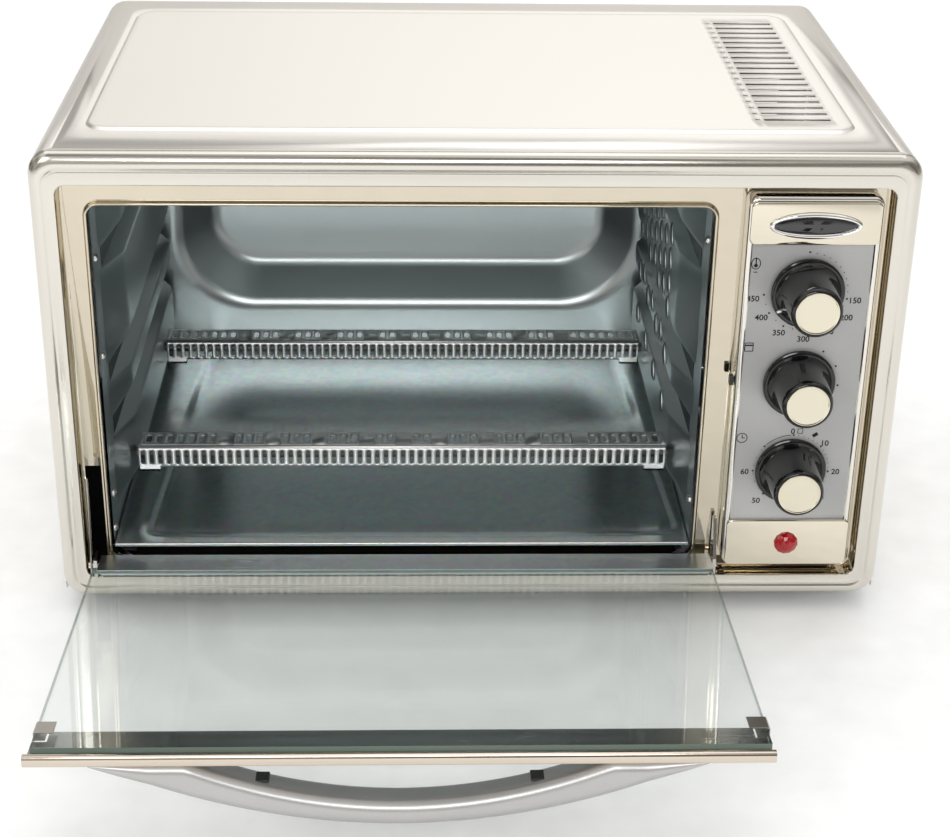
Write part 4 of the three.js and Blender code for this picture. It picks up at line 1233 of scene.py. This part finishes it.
# %% Table
table_paint = moulding("table", (0.93, 0.93, 0.925), 0.8, 40, 0.0)
table_mesh = bpy.data.meshes.new("table")
REACH = 6
table_mesh.from_pydata([(-REACH, -REACH, 0), (REACH, -REACH, 0), (REACH, REACH, 0),
                        (-REACH, REACH, 0)], [], [(0, 1, 2, 3)])
table_mesh.materials.append(table_paint.material)
table = bpy.data.objects.new("table", table_mesh)
bpy.context.scene.collection.objects.link(table)

# %% Camera
SENSOR_WIDTH, LENS = 36, 73.38
CAMERA_PLACE = (-39.209, -1021.208, 632.186)
PITCH, YAW, ROLL = math.radians(26.503), math.radians(2.2016), math.radians(0.9666)
ahead = Vector((math.sin(YAW) * math.cos(PITCH), math.cos(YAW) * math.cos(PITCH), -math.sin(PITCH)))
level_right = Vector((math.cos(YAW), -math.sin(YAW), 0))
level_up = level_right.cross(ahead)
right = math.cos(ROLL) * level_right + math.sin(ROLL) * level_up
up = -math.sin(ROLL) * level_right + math.cos(ROLL) * level_up
camera_data = bpy.data.cameras.new("camera")
camera_data.sensor_width = SENSOR_WIDTH
camera_data.lens = LENS
camera_data.clip_end = 50
camera = bpy.data.objects.new("camera", camera_data)
bpy.context.scene.collection.objects.link(camera)
turn = Matrix((right, up, -ahead)).transposed().to_4x4()
camera.matrix_world = Matrix.Translation(spot(*CAMERA_PLACE)) @ turn
bpy.context.scene.camera = camera
print("camera at", [round(value, 3) for value in camera.location])

# %% Lamps
def lamp_panel(name, place, aim, size, power, colour=(1, 1, 1)):
    data = bpy.data.lights.new(name, "AREA")
    data.shape = "RECTANGLE"
    data.size, data.size_y = size
    data.energy = power
    data.color = colour
    made = bpy.data.objects.new(name, data)
    made.location = place
    made.rotation_euler = (Vector(aim) - Vector(place)).to_track_quat("-Z", "Y").to_euler()
    bpy.context.scene.collection.objects.link(made)
    return made


lamp_panel("overhead", (0.0, 0.35, 1.9), (0, 0, 0.2), (2.4, 1.5), 9)
lamp_panel("front", (-0.1, -1.9, 1.15), (-0.04, 0.1, 0.1), (0.9, 0.45), 8)
lamp_panel("front_left", (-1.3, -1.6, 1.3), (0, 0, 0.15), (0.9, 0.9), 5, (1, 0.97, 0.93))
lamp_panel("behind", (0.1, 2.6, 1.5), (0, 0, 0.3), (3.2, 1.5), 11, (1, 0.985, 0.955))

# %% Room
world = bpy.data.worlds.new("room")
bpy.context.scene.world = world
world.use_nodes = True
sky = world.node_tree
place = sky.nodes.new("ShaderNodeTexCoord")
split = sky.nodes.new("ShaderNodeSeparateXYZ")
sky.links.new(place.outputs["Generated"], split.inputs[0])
height = sky.nodes.new("ShaderNodeMapRange")
height.inputs["From Min"].default_value = -0.2
height.inputs["From Max"].default_value = 0.9
sky.links.new(split.outputs["Z"], height.inputs["Value"])
wash = sky.nodes.new("ShaderNodeValToRGB")
wash.color_ramp.elements[0].color = (0.40, 0.36, 0.30, 1)
wash.color_ramp.elements[1].color = (0.98, 0.97, 0.95, 1)
middle = wash.color_ramp.elements.new(0.45)
middle.color = (0.62, 0.60, 0.57, 1)
sky.links.new(height.outputs[0], wash.inputs["Fac"])
patches = sky.nodes.new("ShaderNodeTexNoise")
patches.inputs["Scale"].default_value = 2.1
patches.inputs["Detail"].default_value = 1.0
sky.links.new(place.outputs["Generated"], patches.inputs["Vector"])
dark = sky.nodes.new("ShaderNodeMapRange")
dark.inputs["From Min"].default_value = 0.42
dark.inputs["From Max"].default_value = 0.62
dark.inputs["To Min"].default_value = 1.0
dark.inputs["To Max"].default_value = 0.25
sky.links.new(patches.outputs[0], dark.inputs["Value"])
shaded = sky.nodes.new("ShaderNodeVectorMath")
shaded.operation = "SCALE"
sky.links.new(wash.outputs[0], shaded.inputs[0])
sky.links.new(dark.outputs[0], shaded.inputs["Scale"])
seen_by = sky.nodes.new("ShaderNodeLightPath")
choose = sky.nodes.new("ShaderNodeMix")
choose.data_type = "RGBA"
choose.inputs[6].default_value = (1, 1, 0.99, 1)
sky.links.new(seen_by.outputs["Is Glossy Ray"], choose.inputs[0])
sky.links.new(shaded.outputs[0], choose.inputs[7])
sky.links.new(choose.outputs[2], sky.nodes["Background"].inputs["Color"])
sky.nodes["Background"].inputs["Strength"].default_value = 0.95

scene = bpy.context.scene
scene.view_settings.view_transform = "Standard"
scene.view_settings.exposure = 0.0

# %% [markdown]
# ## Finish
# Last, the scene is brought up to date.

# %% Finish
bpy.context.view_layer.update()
